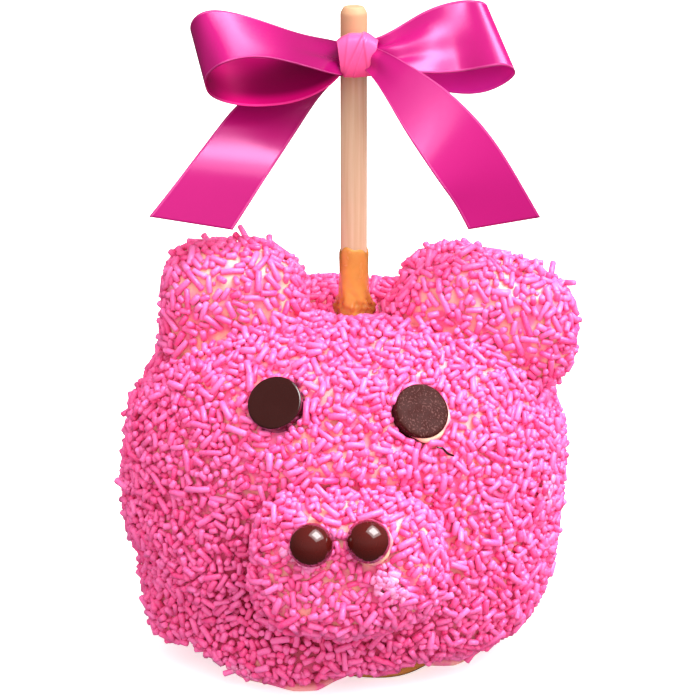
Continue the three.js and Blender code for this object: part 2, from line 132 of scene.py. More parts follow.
# both edges of each strip of ribbon, at stations along it from the knot, mm
STRIPS = {
    "bow_loop_left": (
        (-0.7, -3.3, 145.0, -0.4, -9.4, 138.7),
        (-4.4, 1.5, 145.0, -4.0, -13.6, 140.2),
        (-10.6, 1.9, 146.2, -10.4, -13.8, 141.9),
        (-17.8, -1.5, 149.3, -17.2, -13.3, 143.4),
        (-24.6, -4.6, 152.0, -22.8, -14.3, 143.6),
        (-30.0, -5.6, 153.0, -27.5, -15.4, 142.6),
        (-33.4, -6.1, 152.2, -30.3, -13.7, 140.5),
        (-35.4, -3.2, 149.4, -31.9, -12.1, 138.1),
        (-35.2, 2.3, 145.7, -31.4, -10.4, 135.0),
        (-32.5, 3.7, 142.8, -29.0, -8.6, 132.8),
        (-27.3, 5.5, 140.9, -23.5, -7.1, 131.2),
        (-19.7, 5.1, 140.2, -16.7, -6.9, 131.2),
        (-11.3, 2.0, 140.8, -10.3, -7.2, 132.5),
        (-4.8, -1.6, 142.4, -4.3, -7.7, 135.4),
        (-1.1, -3.1, 144.1, -0.7, -8.6, 138.8),
    ),
    "bow_loop_right": (
        (5.7, -4.1, 145.6, 6.0, -8.5, 140.2),
        (8.9, -3.9, 146.8, 9.6, -12.7, 140.5),
        (12.8, -2.6, 148.8, 13.9, -12.9, 140.1),
        (17.9, -2.5, 152.1, 20.0, -11.5, 139.5),
        (22.7, -2.1, 153.9, 26.0, -7.5, 139.1),
        (27.1, 0.1, 154.3, 31.4, -9.1, 140.3),
        (30.2, -0.7, 154.3, 35.7, -9.5, 141.0),
        (32.1, 0.9, 153.3, 38.3, -8.5, 139.8),
        (32.3, 1.3, 151.4, 38.3, -7.0, 138.1),
        (30.7, 3.7, 148.9, 36.5, -4.2, 135.9),
        (26.3, 5.1, 146.8, 32.4, -2.6, 133.6),
        (20.8, 4.8, 145.7, 26.7, -2.3, 133.0),
        (14.8, 1.7, 145.1, 19.3, -4.2, 134.7),
        (9.7, -1.7, 145.0, 12.4, -6.6, 137.5),
        (6.2, -3.8, 145.1, 7.3, -7.7, 140.0),
    ),
    "bow_tail_left": (
        (-1.1, 2.6, 137.2, -5.5, 2.9, 142.3),
        (-3.0, 3.7, 134.6, -11.1, 3.8, 138.8),
        (-6.5, 3.5, 130.7, -18.0, 2.5, 134.9),
        (-10.6, -0.5, 125.1, -25.2, -0.2, 130.0),
        (-14.5, -6.0, 120.1, -30.3, -5.6, 124.5),
        (-18.3, -10.3, 115.0, -35.2, -11.1, 119.0),
        (-22.1, -12.8, 109.4, -40.1, -14.5, 113.1),
        (-25.9, -14.9, 103.8, -44.9, -17.1, 107.4),
    ),
    "bow_tail_right": (
        (5.9, -8.2, 145.2, 4.6, -9.6, 139.9),
        (10.0, -14.0, 144.5, 6.6, -15.8, 138.6),
        (15.7, -18.4, 141.8, 9.5, -20.6, 134.7),
        (22.1, -18.8, 137.5, 13.3, -23.9, 128.7),
        (29.3, -19.3, 130.8, 17.3, -26.6, 123.1),
        (34.9, -18.0, 123.3, 21.4, -26.9, 117.0),
        (39.6, -15.6, 115.2, 24.6, -24.7, 112.1),
        (44.6, -11.5, 106.0, 27.8, -22.5, 105.7),
    ),
}


# ------------------------------------------------------------------ small tools
def smooth(value, low, high):
    """A share that runs smoothly from nought at low to one at high."""
    share = np.clip((value - low) / (high - low), 0.0, 1.0)
    return share * share * (3 - 2 * share)


def unit(vectors):
    return vectors / np.linalg.norm(vectors, axis=-1, keepdims=True)


def around(points):
    """The angle of points round the upright axis, in radians."""
    return np.arctan2(points[:, 1], points[:, 0])


def turn_matrix(degrees):
    return np.array(Euler([math.radians(a) for a in degrees], "XYZ").to_matrix())


def points_of(bm):
    return np.array([v.co for v in bm.verts])


def set_points(bm, points):
    for vert, point in zip(bm.verts, points):
        vert.co = point


def spin_round(bm, section, steps):
    """Spins a section full round the upright axis, closed and facing outwards."""
    bmesh.ops.spin(bm, geom=section, cent=(0, 0, 0), axis=(0, 0, 1), angle=2 * math.pi, steps=steps,
                   use_merge=True)
    bmesh.ops.remove_doubles(bm, verts=bm.verts, dist=1e-4)
    bmesh.ops.recalc_face_normals(bm, faces=bm.faces)


def spun(profile, steps, ring=False):
    """A shape turned from (radius, height) pairs that start and end on the axis, or that make a ring."""
    bm = bmesh.new()
    verts = [bm.verts.new((r, 0, z)) for r, z in profile]
    after = verts[1:] + verts[:1] if ring else verts[1:]
    edges = [bm.edges.new(pair) for pair in zip(verts, after)]
    spin_round(bm, verts + edges, steps)
    return bm


def stand_on(bm, place, normal):
    """Moves a shape that stands on the origin to a place, upright along a normal."""
    matrix = Vector((0, 0, 1)).rotation_difference(Vector(normal)).to_matrix().to_4x4()
    matrix.translation = place
    bmesh.ops.transform(bm, matrix=matrix, verts=bm.verts)


def mark(mesh, name, values):
    """Gives the points of a mesh the numbers that its finish reads under a name."""
    mesh.attributes.new(name, "FLOAT", "POINT").data.foreach_set("value", values)


def piece_from(bm, name, material, node=None):
    """Makes a bmesh in millimetres a piece of the object that rides on its body."""
    bmesh.ops.scale(bm, vec=(MM, MM, MM), verts=bm.verts)
    mesh = bpy.data.meshes.new(name)
    bm.to_mesh(mesh)
    bm.free()
    return piece_with(mesh, name, material, node)


def piece_with(mesh, name, material, node=None):
    """Makes a mesh in metres a piece, which may take the place of a node."""
    mesh.shade_smooth()
    mesh.materials.append(material)
    piece = bpy.data.objects.new(name, mesh)
    bpy.context.scene.collection.objects.link(piece)
    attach(piece, "root")
    if node:
        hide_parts(node)
    return piece


# ------------------------------------------------------------------ the dipped surfaces
def squareness(x, y, z, power):
    """How far a rounded box of half size one reaches along a line."""
    return (np.abs(x) ** power + np.abs(y) ** power + np.abs(z) ** power) ** (-1 / power)


def coat_waver(d):
    """The lumps of a dipped body in given directions, as a share of its reach."""
    x, y, z = d.T
    slow = np.sin(2.3 * x + 1.1) * np.cos(2.9 * y - 0.4) + np.sin(3.1 * z + 2 * x)
    quick = np.sin(5.2 * x - 3.7 * z) * np.cos(4.6 * y + 1.9 * z + 0.8)
    return LUMP * (0.6 * slow + 0.7 * quick)


def apple_surface(directions, margin=0.0):
    """The points of the apple's surface in directions from its middle, grown by a margin."""
    d = unit(directions)
    up = d[:, 2] > 0
    power = np.where(up, SHOULDER_POWER, BELLY_POWER)
    rise = np.where(up, APPLE_RISE, APPLE_DROP)
    across = np.hypot(d[:, 0] / APPLE_HALF_WIDTH, d[:, 1] / APPLE_HALF_DEPTH)
    radius = squareness(across, 0 * across, d[:, 2] / rise, power) * (1 + coat_waver(d))
    p = APPLE_CENTRE + d * (radius + margin)[:, None]
    from_stick = np.hypot(p[:, 0] - STICK_X, p[:, 1] - CRATER_Y)
    crater = CRATER_DEPTH * np.exp(-((from_stick / CRATER_WIDTH) ** 2))
    p[:, 2] -= np.where(p[:, 2] > APPLE_CENTRE[2], crater, 0)
    angle = np.degrees(around(p))
    spread = 0
    for at, width, share in SKIRTS:
        away = np.mod(angle - at + 180, 360) - 180
        spread = spread + share * np.exp(-((away / width) ** 2))
    low = 1 - smooth(p[:, 2], 0, SKIRT_TOP)
    p[:, :2] *= (1 + spread * low)[:, None]
    for *middle, reach, depth in DENTS:
        away = np.linalg.norm((p - middle) / reach, axis=1)
        p -= d * (depth * np.exp(-(away**2)))[:, None]
    p[:, 2] = np.maximum(p[:, 2], 0)
    return p


def lump_surface(name, directions, margin=0.0):
    """The points of an ear's or the snout's surface in directions from its middle, grown by a margin."""
    centre, half, power, turn = LUMPS[name]
    d = unit(directions)
    local = d @ turn_matrix(turn)
    radius = squareness(*(local / half).T, power)
    return centre + d * (radius * (1 + LUMP_GAIN * coat_waver(local * LUMP_FINER)) + margin)[:, None]


def surface_of(name):
    """The surface of one of the dipped bodies, and its middle."""
    if name == "head":
        return apple_surface, APPLE_CENTRE
    return (lambda d, margin=0.0: lump_surface(name, d, margin)), np.array(LUMPS[name][0])


def depth_in(name, points):
    """How deep points lie in one of the dipped bodies, along the line to its middle."""
    surface, centre = surface_of(name)
    out = points - centre
    reach = np.linalg.norm(surface(out) - centre, axis=1)
    return reach - np.linalg.norm(out, axis=1)


def normal_of(surface, direction):
    """The point of a surface in a direction, and the normal there."""
    side = unit(np.cross((0, 0, 1), direction))
    above = np.cross(direction, side)
    here, beside, over = surface(np.array([direction, direction + 0.01 * side, direction + 0.01 * above]))
    normal = unit(np.cross(beside - here, over - here))
    return here, normal if normal @ direction > 0 else -normal


# ------------------------------------------------------------------ settings
def a_length(name, description, default, low, high):
    return bpy.props.FloatProperty(
        name=name, description=description, default=default * MM, min=low * MM, max=high * MM,
        unit="LENGTH", precision=5,
    )


def a_share(name, description, default):
    return bpy.props.FloatProperty(
        name=name, description=description, default=default, min=0, max=1, subtype="FACTOR"
    )


def a_colour(name, description, default):
    return bpy.props.FloatVectorProperty(
        name=name, description=description, default=default, min=0, max=1, size=3, subtype="COLOR"
    )


class CoatSettings(bpy.types.PropertyGroup):
    drop: a_length("Coat Depth", "How far the bare coating lies under the bed of strands", 2.1, 0.5, 3)
    cream: a_colour("Coating", "Colour of the pale coating", (0.88, 0.51, 0.37))
    stain: a_colour("Stain", "Where colour has run from the strands", (0.88, 0.13, 0.34))
    # painted shade: the colour that the coating turns to where its stain value passes one
    hollow_shade: a_colour("Hollow", "Where the strands keep the light off the coating", (0.5, 0.028, 0.1))


class StrandSettings(bpy.types.PropertyGroup):
    thickness: a_length("Thickness", "Thickness of a sugar strand", 1.48, 0.8, 2)
    longest: a_length("Longest", "Length of the longest strands", 7.5, 4, 12)
    deep: a_colour("Deep Pink", "Colour of the darkest strands", (0.93, 0.056, 0.275))
    pale: a_colour("Pale Pink", "Colour of the palest strands", (0.98, 0.165, 0.48))
    frost: a_colour("Frost", "Colour of the sugar's worn spots", (1, 0.45, 0.7))
    crushed: a_colour("Crushed", "Colour of crushed strands", (0.96, 0.34, 0.57))


class ChocolateSettings(bpy.types.PropertyGroup):
    eye: a_length("Eye", "Width of an eye", 12.6, 10, 14)
    nostril: a_length("Nostril", "Width of a nostril", 9.9, 8, 11)
    dark: a_colour("Chocolate", "Colour of the glossy chocolate", (0.024, 0.0024, 0.0018))
    bloom: a_colour("Bloom", "Colour of the pale bloom on the duller drop", (0.046, 0.013, 0.012))
    specks: a_colour("Specks", "Colour of the specks in the bloom", (0.15, 0.066, 0.062))
    red: a_colour("Nostril Chocolate", "Colour of the redder chocolate", (0.066, 0.0042, 0.0033))


class StickSettings(bpy.types.PropertyGroup):
    width: a_length("Width", "Width of the wooden stick", 6.2, 5, 8)
    wood: a_colour("Wood", "Colour of the sanded wood", (0.61, 0.43, 0.285))
    caramel: a_colour("Caramel", "Colour of the thin caramel", (0.70, 0.31, 0.065))
    burnt: a_colour("Thick Caramel", "Colour of the caramel where it is thick", (0.40, 0.12, 0.02))


class RibbonSettings(bpy.types.PropertyGroup):
    thickness: a_length("Thickness", "Thickness of the ribbon", 0.28, 0.1, 0.6)
    satin: a_colour("Satin", "Colour of the ribbon", (0.375, 0.0035, 0.13))
    selvage: a_colour("Selvage", "Colour of the ribs along its edges", (0.9, 0.12, 0.45))


class StageSettings(bpy.types.PropertyGroup):
    floor: a_colour("Floor", "Colour of the floor", (0.86, 0.86, 0.86))
    glow: a_share("Floor Glow", "Light that the floor itself shows", 0.6)
    key: bpy.props.FloatProperty(name="Key Light", description="Power of the large light", default=26.0)
    core: bpy.props.FloatProperty(name="Core Light", description="Power of its bright middle", default=22.0)
    fill: bpy.props.FloatProperty(name="Fill", description="Strength of the surrounding light", default=1.4)
    below: a_share("Light From Below", "Share of the surrounding light that comes from below", 0.4)
    frontal: a_share("Frontal Light", "How much more of the surrounding light comes from the front", 0.5)
    mirrored: a_share("Mirrored Fill", "Share of the surrounding light that glossy faces mirror", 0.12)


# ------------------------------------------------------------------ materials
class Nodes:
    """A node tree, with short ways to add nodes that are already joined."""

    def __init__(self, tree):
        self.tree = tree

    def put(self, socket, value):
        """Joins a socket to another one, or sets it to a number, a vector or a colour."""
        if isinstance(value, bpy.types.NodeSocket):
            self.tree.links.new(value, socket)
        else:
            socket.default_value = (*value, 1) if socket.type == "RGBA" else value

    def add(self, kind, inputs=(), **settings):
        node = self.tree.nodes.new(kind)
        for key, value in settings.items():
            setattr(node, key, value)
        for key, value in dict(inputs).items():
            self.put(node.inputs[key], value)
        return node

    def work(self, operation, first, second=0, **settings):
        """A sum worked out at each point."""
        inputs = {0: first, 1: second}
        return self.add("ShaderNodeMath", inputs, operation=operation, **settings).outputs[0]

    def between(self, value, low=0, high=1, start=0, stop=1, **settings):
        """A number that runs from low to high while a value runs from start to stop."""
        return self.add("ShaderNodeMapRange", {
            "Value": value, "From Min": start, "From Max": stop, "To Min": low, "To Max": high,
        }, **settings).outputs[0]

    def blend(self, factor, first, second):
        """A colour between two, by a mask or a fixed share."""
        mix = self.add("ShaderNodeMix", {"Factor": factor}, data_type="RGBA")
        for key, value in (("A", first), ("B", second)):
            self.put(next(s for s in mix.inputs if s.name == key and s.type == "RGBA"), value)
        return next(s for s in mix.outputs if s.type == "RGBA")


class Finish(Nodes):
    """A material with its Principled shader."""

    def __init__(self, name, **values):
        self.material = bpy.data.materials.new(name)
        self.material.use_nodes = True
        super().__init__(self.material.node_tree)
        self.shader = self.tree.nodes["Principled BSDF"]
        self.feed(**values)

    def feed(self, **values):
        """Sets the shader's inputs, or joins them to sockets."""
        for key, value in values.items():
            self.put(self.shader.inputs[key.replace("_", " ")], value)

    def read(self, name):
        """The numbers that the points of a piece hold under a name."""
        return self.add("ShaderNodeAttribute", attribute_name=name).outputs["Fac"]

    def uneven(self, scale, detail, height, contrast, stretch=(1, 1, 1)):
        """The mask and the relief of the mottling, on object coordinates that may be stretched."""
        place = self.add("ShaderNodeTexCoord").outputs["Object"]
        place = self.add("ShaderNodeMapping", {"Vector": place, "Scale": stretch}).outputs[0]
        group = self.add("ShaderNodeGroup", {
            "Vector": place, "Scale": scale, "Detail": detail, "Height": height, "Contrast": contrast,
        }, node_tree=uneven_group())
        return group.outputs["Mask"], group.outputs["Normal"]


def uneven_group():
    """Soft mottling and a low relief, for finishes that were poured, pressed or tumbled."""
    if "Uneven" in bpy.data.node_groups:
        return bpy.data.node_groups["Uneven"]
    tree = bpy.data.node_groups.new("Uneven", "ShaderNodeTree")
    new_socket = tree.interface.new_socket
    new_socket("Vector", in_out="INPUT", socket_type="NodeSocketVector")
    for label, default in (("Scale", 200.0), ("Detail", 3.0), ("Height", 0.0001), ("Contrast", 0.3)):
        new_socket(label, in_out="INPUT", socket_type="NodeSocketFloat").default_value = default
    new_socket("Mask", in_out="OUTPUT", socket_type="NodeSocketFloat")
    new_socket("Normal", in_out="OUTPUT", socket_type="NodeSocketVector")
    nodes = Nodes(tree)
    given = nodes.add("NodeGroupInput").outputs
    result = nodes.add("NodeGroupOutput").inputs
    noise = nodes.add("ShaderNodeTexNoise", {
        "Vector": given["Vector"], "Scale": given["Scale"], "Detail": given["Detail"], "Roughness": 0.55,
    }).outputs[0]
    low = nodes.work("SUBTRACT", 0.5, given["Contrast"])
    high = nodes.work("ADD", 0.5, given["Contrast"])
    nodes.put(result["Mask"], nodes.between(noise, 0, 1, low, high, interpolation_type="SMOOTHSTEP"))
    bump = nodes.add("ShaderNodeBump", {"Height": noise, "Distance": given["Height"], "Strength": 1.0})
    nodes.put(result["Normal"], bump.outputs[0])
    return tree


def scaled(tone, shares):
    """A colour with its parts scaled, none of them past one."""
    return tuple(min(1, c * f) for c, f in zip(tone, shares))


def coating_finish(settings):
    finish = Finish(
        "Pale Coating", Subsurface_Weight=0.15, Subsurface_Scale=0.002, Subsurface_Radius=(1.0, 0.45, 0.3),
        Coat_Weight=0.15, Coat_Roughness=0.25,
    )
    _, swell = finish.uneven(90, 3, 0.0006, 0.16)
    fine, _ = finish.uneven(700, 2, 0.00008, 0.2)
    patches, _ = finish.uneven(230, 2, 0.0001, 0.1)
    stain = finish.read("stain")
    run = finish.work("ADD", stain, finish.between(patches, -0.6, 0.15), use_clamp=True)
    tone = finish.blend(run, settings.cream, settings.stain)
    # painted shade: stain values from one to two turn the coating to the hollow shade colour
    finish.feed(
        Base_Color=finish.blend(finish.between(stain, start=1, stop=2), tone, settings.hollow_shade),
        Roughness=finish.between(fine, 0.32, 0.55),
        Normal=swell,
    )
    return finish.material


def strand_finish(settings):
    finish = Finish(
        "Sugar Strands", Specular_IOR_Level=0.55, Subsurface_Weight=0.1, Subsurface_Scale=0.0007,
        Subsurface_Radius=(1.0, 0.3, 0.5),
    )
    tint = finish.read("tint")
    grain, relief = finish.uneven(1500, 2, 0.00004, 0.25)
    pink = finish.blend(tint, settings.deep, settings.pale)
    worn = finish.blend(finish.between(grain, 0, 0.12), pink, settings.frost)
    finish.feed(
        Base_Color=finish.blend(finish.between(tint, start=1, stop=2), worn, settings.crushed),
        Roughness=finish.between(grain, 0.26, 0.42),
        Normal=relief,
    )
    return finish.material


def chocolate_finish(settings, name, dark):
    """Polished chocolate of a given colour."""
    finish = Finish(name, Specular_IOR_Level=0.35, Coat_Weight=1.0, Coat_Roughness=0.03)
    cloud, relief = finish.uneven(180, 4, 0.0001, 0.2)
    specks, _ = finish.uneven(2600, 2, 0.00001, 0.12)
    finish.feed(
        Base_Color=finish.blend(finish.between(cloud, 0, 0.08), dark, settings.bloom),
        Roughness=finish.between(specks, 0.1, 0.16),
        Normal=relief,
    )
    return finish.material


def bloomed_finish(settings):
    """Dull chocolate with a mottled bloom that leaves its rim dark."""
    finish = Finish("Bloomed Chocolate", Specular_IOR_Level=0.1)
    cloud, _ = finish.uneven(330, 4, 0.00012, 0.16)
    specks, relief = finish.uneven(2200, 2, 0.00005, 0.12)
    bloom = finish.work("MULTIPLY", finish.between(cloud, 0.25, 1), finish.read("middle"))
    base = finish.blend(bloom, scaled(settings.dark, (1.5, 1.5, 1.5)), settings.bloom)
    finish.feed(
        Base_Color=finish.blend(finish.between(specks, 0, 0.6, start=0.92), base, settings.specks),
        Roughness=finish.between(specks, 0.45, 0.7),
        Normal=relief,
    )
    return finish.material


TOP_SHADE_HEIGHTS = (0.136, 0.149)  # heights between which painted shade darkens the wood towards its top, m


def wood_finish(settings):
    finish = Finish("Sanded Wood", Specular_IOR_Level=0.3)
    streaks, relief = finish.uneven(900, 4, 0.00003, 0.25, (1, 1, 0.03))
    bands, _ = finish.uneven(160, 3, 0.00004, 0.25, (1, 1, 0.12))
    pale = scaled(settings.wood, (1.08, 1.15, 1.22))
    warm = scaled(settings.wood, (0.88, 0.76, 0.66))
    top_shade = scaled(settings.wood, (0.80, 0.64, 0.55))
    tone = finish.blend(bands, settings.wood, pale)
    grain = finish.blend(finish.between(streaks, 0, 0.7), tone, warm)
    place = finish.add("ShaderNodeTexCoord").outputs["Object"]
    height = finish.add("ShaderNodeSeparateXYZ", {0: place}).outputs[2]
    end = finish.between(height, 0, 1, *TOP_SHADE_HEIGHTS, interpolation_type="SMOOTHSTEP")
    # painted shade: the wood darkens to a browner tone towards the top of the stick
    finish.feed(
        Base_Color=finish.blend(end, grain, top_shade),
        Roughness=finish.between(streaks, 0.5, 0.7),
        Normal=relief,
    )
    return finish.material


def caramel_finish(settings):
    finish = Finish(
        "Amber Caramel", Subsurface_Weight=0.35, Subsurface_Scale=0.003, Subsurface_Radius=(1.0, 0.4, 0.1),
        Coat_Weight=0.5, Coat_Roughness=0.08,
    )
    flow, relief = finish.uneven(220, 3, 0.0003, 0.2)
    # the thick values hold the caramel's real thickness and, on the collar, painted shade at the stick's
    # sides
    tone = finish.blend(finish.read("thick"), settings.caramel, settings.burnt)
    finish.feed(
        Base_Color=finish.blend(finish.between(flow, 0, 0.3), tone, settings.burnt),
        Roughness=finish.between(flow, 0.12, 0.3),
        Normal=relief,
    )
    return finish.material


def satin_finish(settings, name, gloss, shade=(1, 1, 1)):
    """Woven satin with ribbed edges; its colour is scaled by a painted tone of light and shade, and it is
    glossier where that tone is darker; a shade factor gives lit and shaded copies.
    """
    finish = Finish(
        name, Specular_IOR_Level=gloss, Specular_Tint=(1.0, 0.47, 0.82), Anisotropic=0.8,
        Anisotropic_Rotation=0.25, Sheen_Weight=0.01, Sheen_Roughness=0.4, Sheen_Tint=(1.0, 0.5, 0.85),
    )
    uv = finish.add("ShaderNodeUVMap", uv_map="UVMap").outputs[0]
    along, across, _ = finish.add("ShaderNodeSeparateXYZ", {0: uv}).outputs
    from_middle = finish.work("ABSOLUTE", finish.work("SUBTRACT", across, 0.5))
    selvage = finish.between(from_middle, 0, 1, 0.462, 0.474, interpolation_type="SMOOTHSTEP")
    run = finish.add("ShaderNodeCombineXYZ", {0: along}).outputs[0]
    weft = finish.add("ShaderNodeTexWave", {"Vector": run, "Scale": 26.0}, bands_direction="X").outputs[1]
    ribs = finish.work("MULTIPLY", weft, selvage)
    threads = finish.add("ShaderNodeMapping", {"Vector": uv, "Scale": (6, 260, 1)}).outputs[0]
    warp = finish.add("ShaderNodeTexNoise", {"Vector": threads, "Scale": 1.0, "Detail": 2.0}).outputs[0]
    height = finish.work("ADD", finish.work("MULTIPLY", warp, 0.12), ribs)
    bump = finish.add("ShaderNodeBump", {"Height": height, "Distance": 0.00006, "Strength": 0.6})
    satin = scaled(settings.satin, shade)
    base = finish.blend(finish.between(warp, 0, 0.5), satin, scaled(satin, (0.82, 0.82, 0.82)))
    woven = finish.blend(finish.between(ribs, 0, 0.22), base, settings.selvage)
    # painted light and shade: the satin's colour is scaled by the painted tone, which also makes it glossier
    # where it is darker
    painted_tone = finish.read("painted_tone")
    painted_satin = finish.add("ShaderNodeVectorMath", {0: woven, "Scale": painted_tone}, operation="SCALE")
    tone_roughness = finish.between(painted_tone, 0.14, 0.26, start=0.7)
    tangent = finish.add("ShaderNodeTangent", direction_type="UV_MAP", uv_map="UVMap")
    finish.feed(
        Base_Color=painted_satin.outputs[0],
        Roughness=finish.work("ADD", tone_roughness, finish.between(selvage, 0, 0.2)),
        Normal=bump.outputs[0],
        Tangent=tangent.outputs[0],
    )
    return finish.material


# ------------------------------------------------------------------ the coating
BODIES = ("head", "ear_left", "ear_right", "snout")
RIPPLE = 0.16  # how high the coating's own ripples stand, mm


def coat_body(name, drop):
    """The bare coating of the head, an ear or the snout as a closed bmesh, in millimetres."""
    surface, _ = surface_of(name)
    bm = bmesh.new()
    bmesh.ops.create_icosphere(bm, subdivisions=6 if name == "head" else 5, radius=1)
    directions = points_of(bm)
    ripple = RIPPLE * np.sin(directions @ (19, 7, -11)) * np.cos(directions @ (-6, 17, 13) + 1)
    set_points(bm, surface(directions, -drop + ripple))
    bmesh.ops.recalc_face_normals(bm, faces=bm.faces)
    return bm


# how far the coating ran out on the tray, in mm by degrees, and the section of its edge
FOOT_ANGLES = (-175, -155, -138, -128, -115, -108, -100, -95, -86, -68, -50, -38, -25, -10, 30, 90, 150)
FOOT_REACH = (33, 33, 36, 38.5, 39.5, 40, 38, 31.5, 25, 23, 26, 32.5, 34, 34, 31, 30, 31)
FOOT_SECTION = (
    (0, 0), (0.6, 0), (0.97, 0), (1, 0.25), (0.995, 0.6),
    (0.97, 0.9), (0.93, 1), (0.6, 1), (0, 1),
)

# how far colour has run over the whole of each body
STAINED = {"head": 1.0, "ear_left": 0.75, "ear_right": 0.85, "snout": 0.85}
# places that few strands stuck to: middle, reach, the share that is left and how stained the coating is
BARE = (
    (-28.8, -13.6, 98.0, 5.2, 0.15, 0.55),
    (-23.5, -15.5, 95.8, 2.2, 0.2, 0.1),
    (-12.2, -13.9, 90.8, 1.9, 0.0, 0.0),
    (-24.2, -19.3, 88.4, 2.0, 0.3, 0.2),
    (48.9, -6.0, 63.3, 4.0, 0.05, 0.2),
    (-0.2, -49.0, 57.7, 1.9, 0.1, 0.0),
    (46.6, -23.1, 44.1, 3.2, 0.1, 0.7),
    (24.0, -40.5, 66.0, 1.8, 0.1, 0.1),
    (18.6, -44.0, 61.0, 1.8, 0.15, 0.1),
    (8.6, -66.1, 36.1, 3.6, 0.25, 0.7),
    (-20.8, -39.1, 4.7, 4.0, 0.3, 0.7),
)
# where the coating between the strands is painted darkest in shade, and where strands stick more readily:
# middle and reach
HOLLOWS = (
    (-24.0, -40.0, 22.0, (14.0, 14.0, 16.0)),
    (-4.0, -44.0, 13.0, (30.0, 14.0, 8.0)),
)


def nearness(points, middle, reach, power):
    """A share that is one in the middle of a place and falls to nought round it."""
    return np.exp(-(np.linalg.norm((points - middle) / reach, axis=1) ** power))


def stain_and_shade(points, most):
    """How far colour has run into the coating at each point, and past one the painted shade of the hollows.
    """
    share = np.full(len(points), most)
    # painted shade: each hollow adds up to one to the value, beyond the real stain
    for *middle, reach in HOLLOWS:
        share += nearness(points, middle, reach, 2)
    for *middle, reach, _, stain in BARE:
        share += (stain - share) * nearness(points, middle, reach, 4)
    return share


class PIG_OT_coat(bpy.types.Operator):
    """Dips the apple, the ears and the snout in the pale coating"""

    bl_idname = "pig.coat"
    bl_label = "Dip in Coating"

    def execute(self, context):
        settings = context.scene.pig_coat
        material = coating_finish(settings)
        for name in BODIES:
            bm = coat_body(name, settings.drop / MM)
            stain = stain_and_shade(points_of(bm), STAINED[name])
            piece = piece_from(bm, f"{name}_coating", material, name)
            # the stain values hold real stain up to one and painted shade above it
            mark(piece.data, "stain", stain)
        self.foot(material)
        eye, normal = eye_place("eye_right")
        nostril = nostril_place("nostril_right")
        self.rim("eye_rim", "head", material, eye + (0.65, 0, -0.6) - 0.5 * normal, normal, 5.5, 0.8)
        self.rim("nostril_rim", "snout", material, nostril + (0.5, 0.5, -0.65), (0, -1, 0.1), 4.3, 0.6)
        return {"FINISHED"}

    @staticmethod
    def rim(name, node, material, middle, normal, radius, tube):
        """Coating that was pushed up round a pressed-in piece."""
        bm = bmesh.new()
        section = Matrix.Translation((radius, 0, 0)) @ Matrix.Rotation(math.pi / 2, 4, "X")
        bmesh.ops.create_circle(bm, segments=12, radius=tube, matrix=section)
        spin_round(bm, bm.verts[:] + bm.edges[:], 64)
        p = points_of(bm)
        angle = around(p)
        p *= (1 + 0.03 * np.sin(4 * angle) + 0.02 * np.sin(9 * angle + 1))[:, None]
        set_points(bm, p)
        stand_on(bm, middle, normal)
        piece = piece_from(bm, name, material, node)
        mark(piece.data, "stain", 0.5 + 0.2 * np.sin(3 * angle))

    @staticmethod
    def foot(material):
        """The edge of the coating where it ran out on the tray."""
        bm = spun(FOOT_SECTION, 180)
        p = points_of(bm)
        angle = around(p)
        reach = np.interp(np.degrees(angle), FOOT_ANGLES, FOOT_REACH, period=360)
        reach += 0.5 * np.sin(7 * angle + 0.4) + 0.3 * np.sin(16 * angle)
        p *= np.stack([reach, reach, 2.0 + 0.5 * np.sin(5 * angle)], axis=1)
        set_points(bm, p)
        piece = piece_from(bm, "coating_foot", material, "head")
        # where the value passes one, the foot's edge takes a little painted shade
        mark(piece.data, "stain", 0.92 + 0.2 * np.sin(3 * angle))


# ------------------------------------------------------------------ sugar strands
TRAY = 0.3  # nothing sticks to the coating below this height, mm
COVERED = 0.6  # how deep a face lies in another body before it takes no strands, mm
BEAD_STEP = 0.6  # between the beads that stand for a strand, mm
MOST_BEADS = 200000
ASLANT = (0.31, 0.87, 0.38)  # a direction that no part of the surface faces squarely


def sides_of(normal, guide=ASLANT):
    """Two directions across a normal, square to each other."""
    side = unit(np.cross(normal, guide))
    return side, np.cross(normal, side)


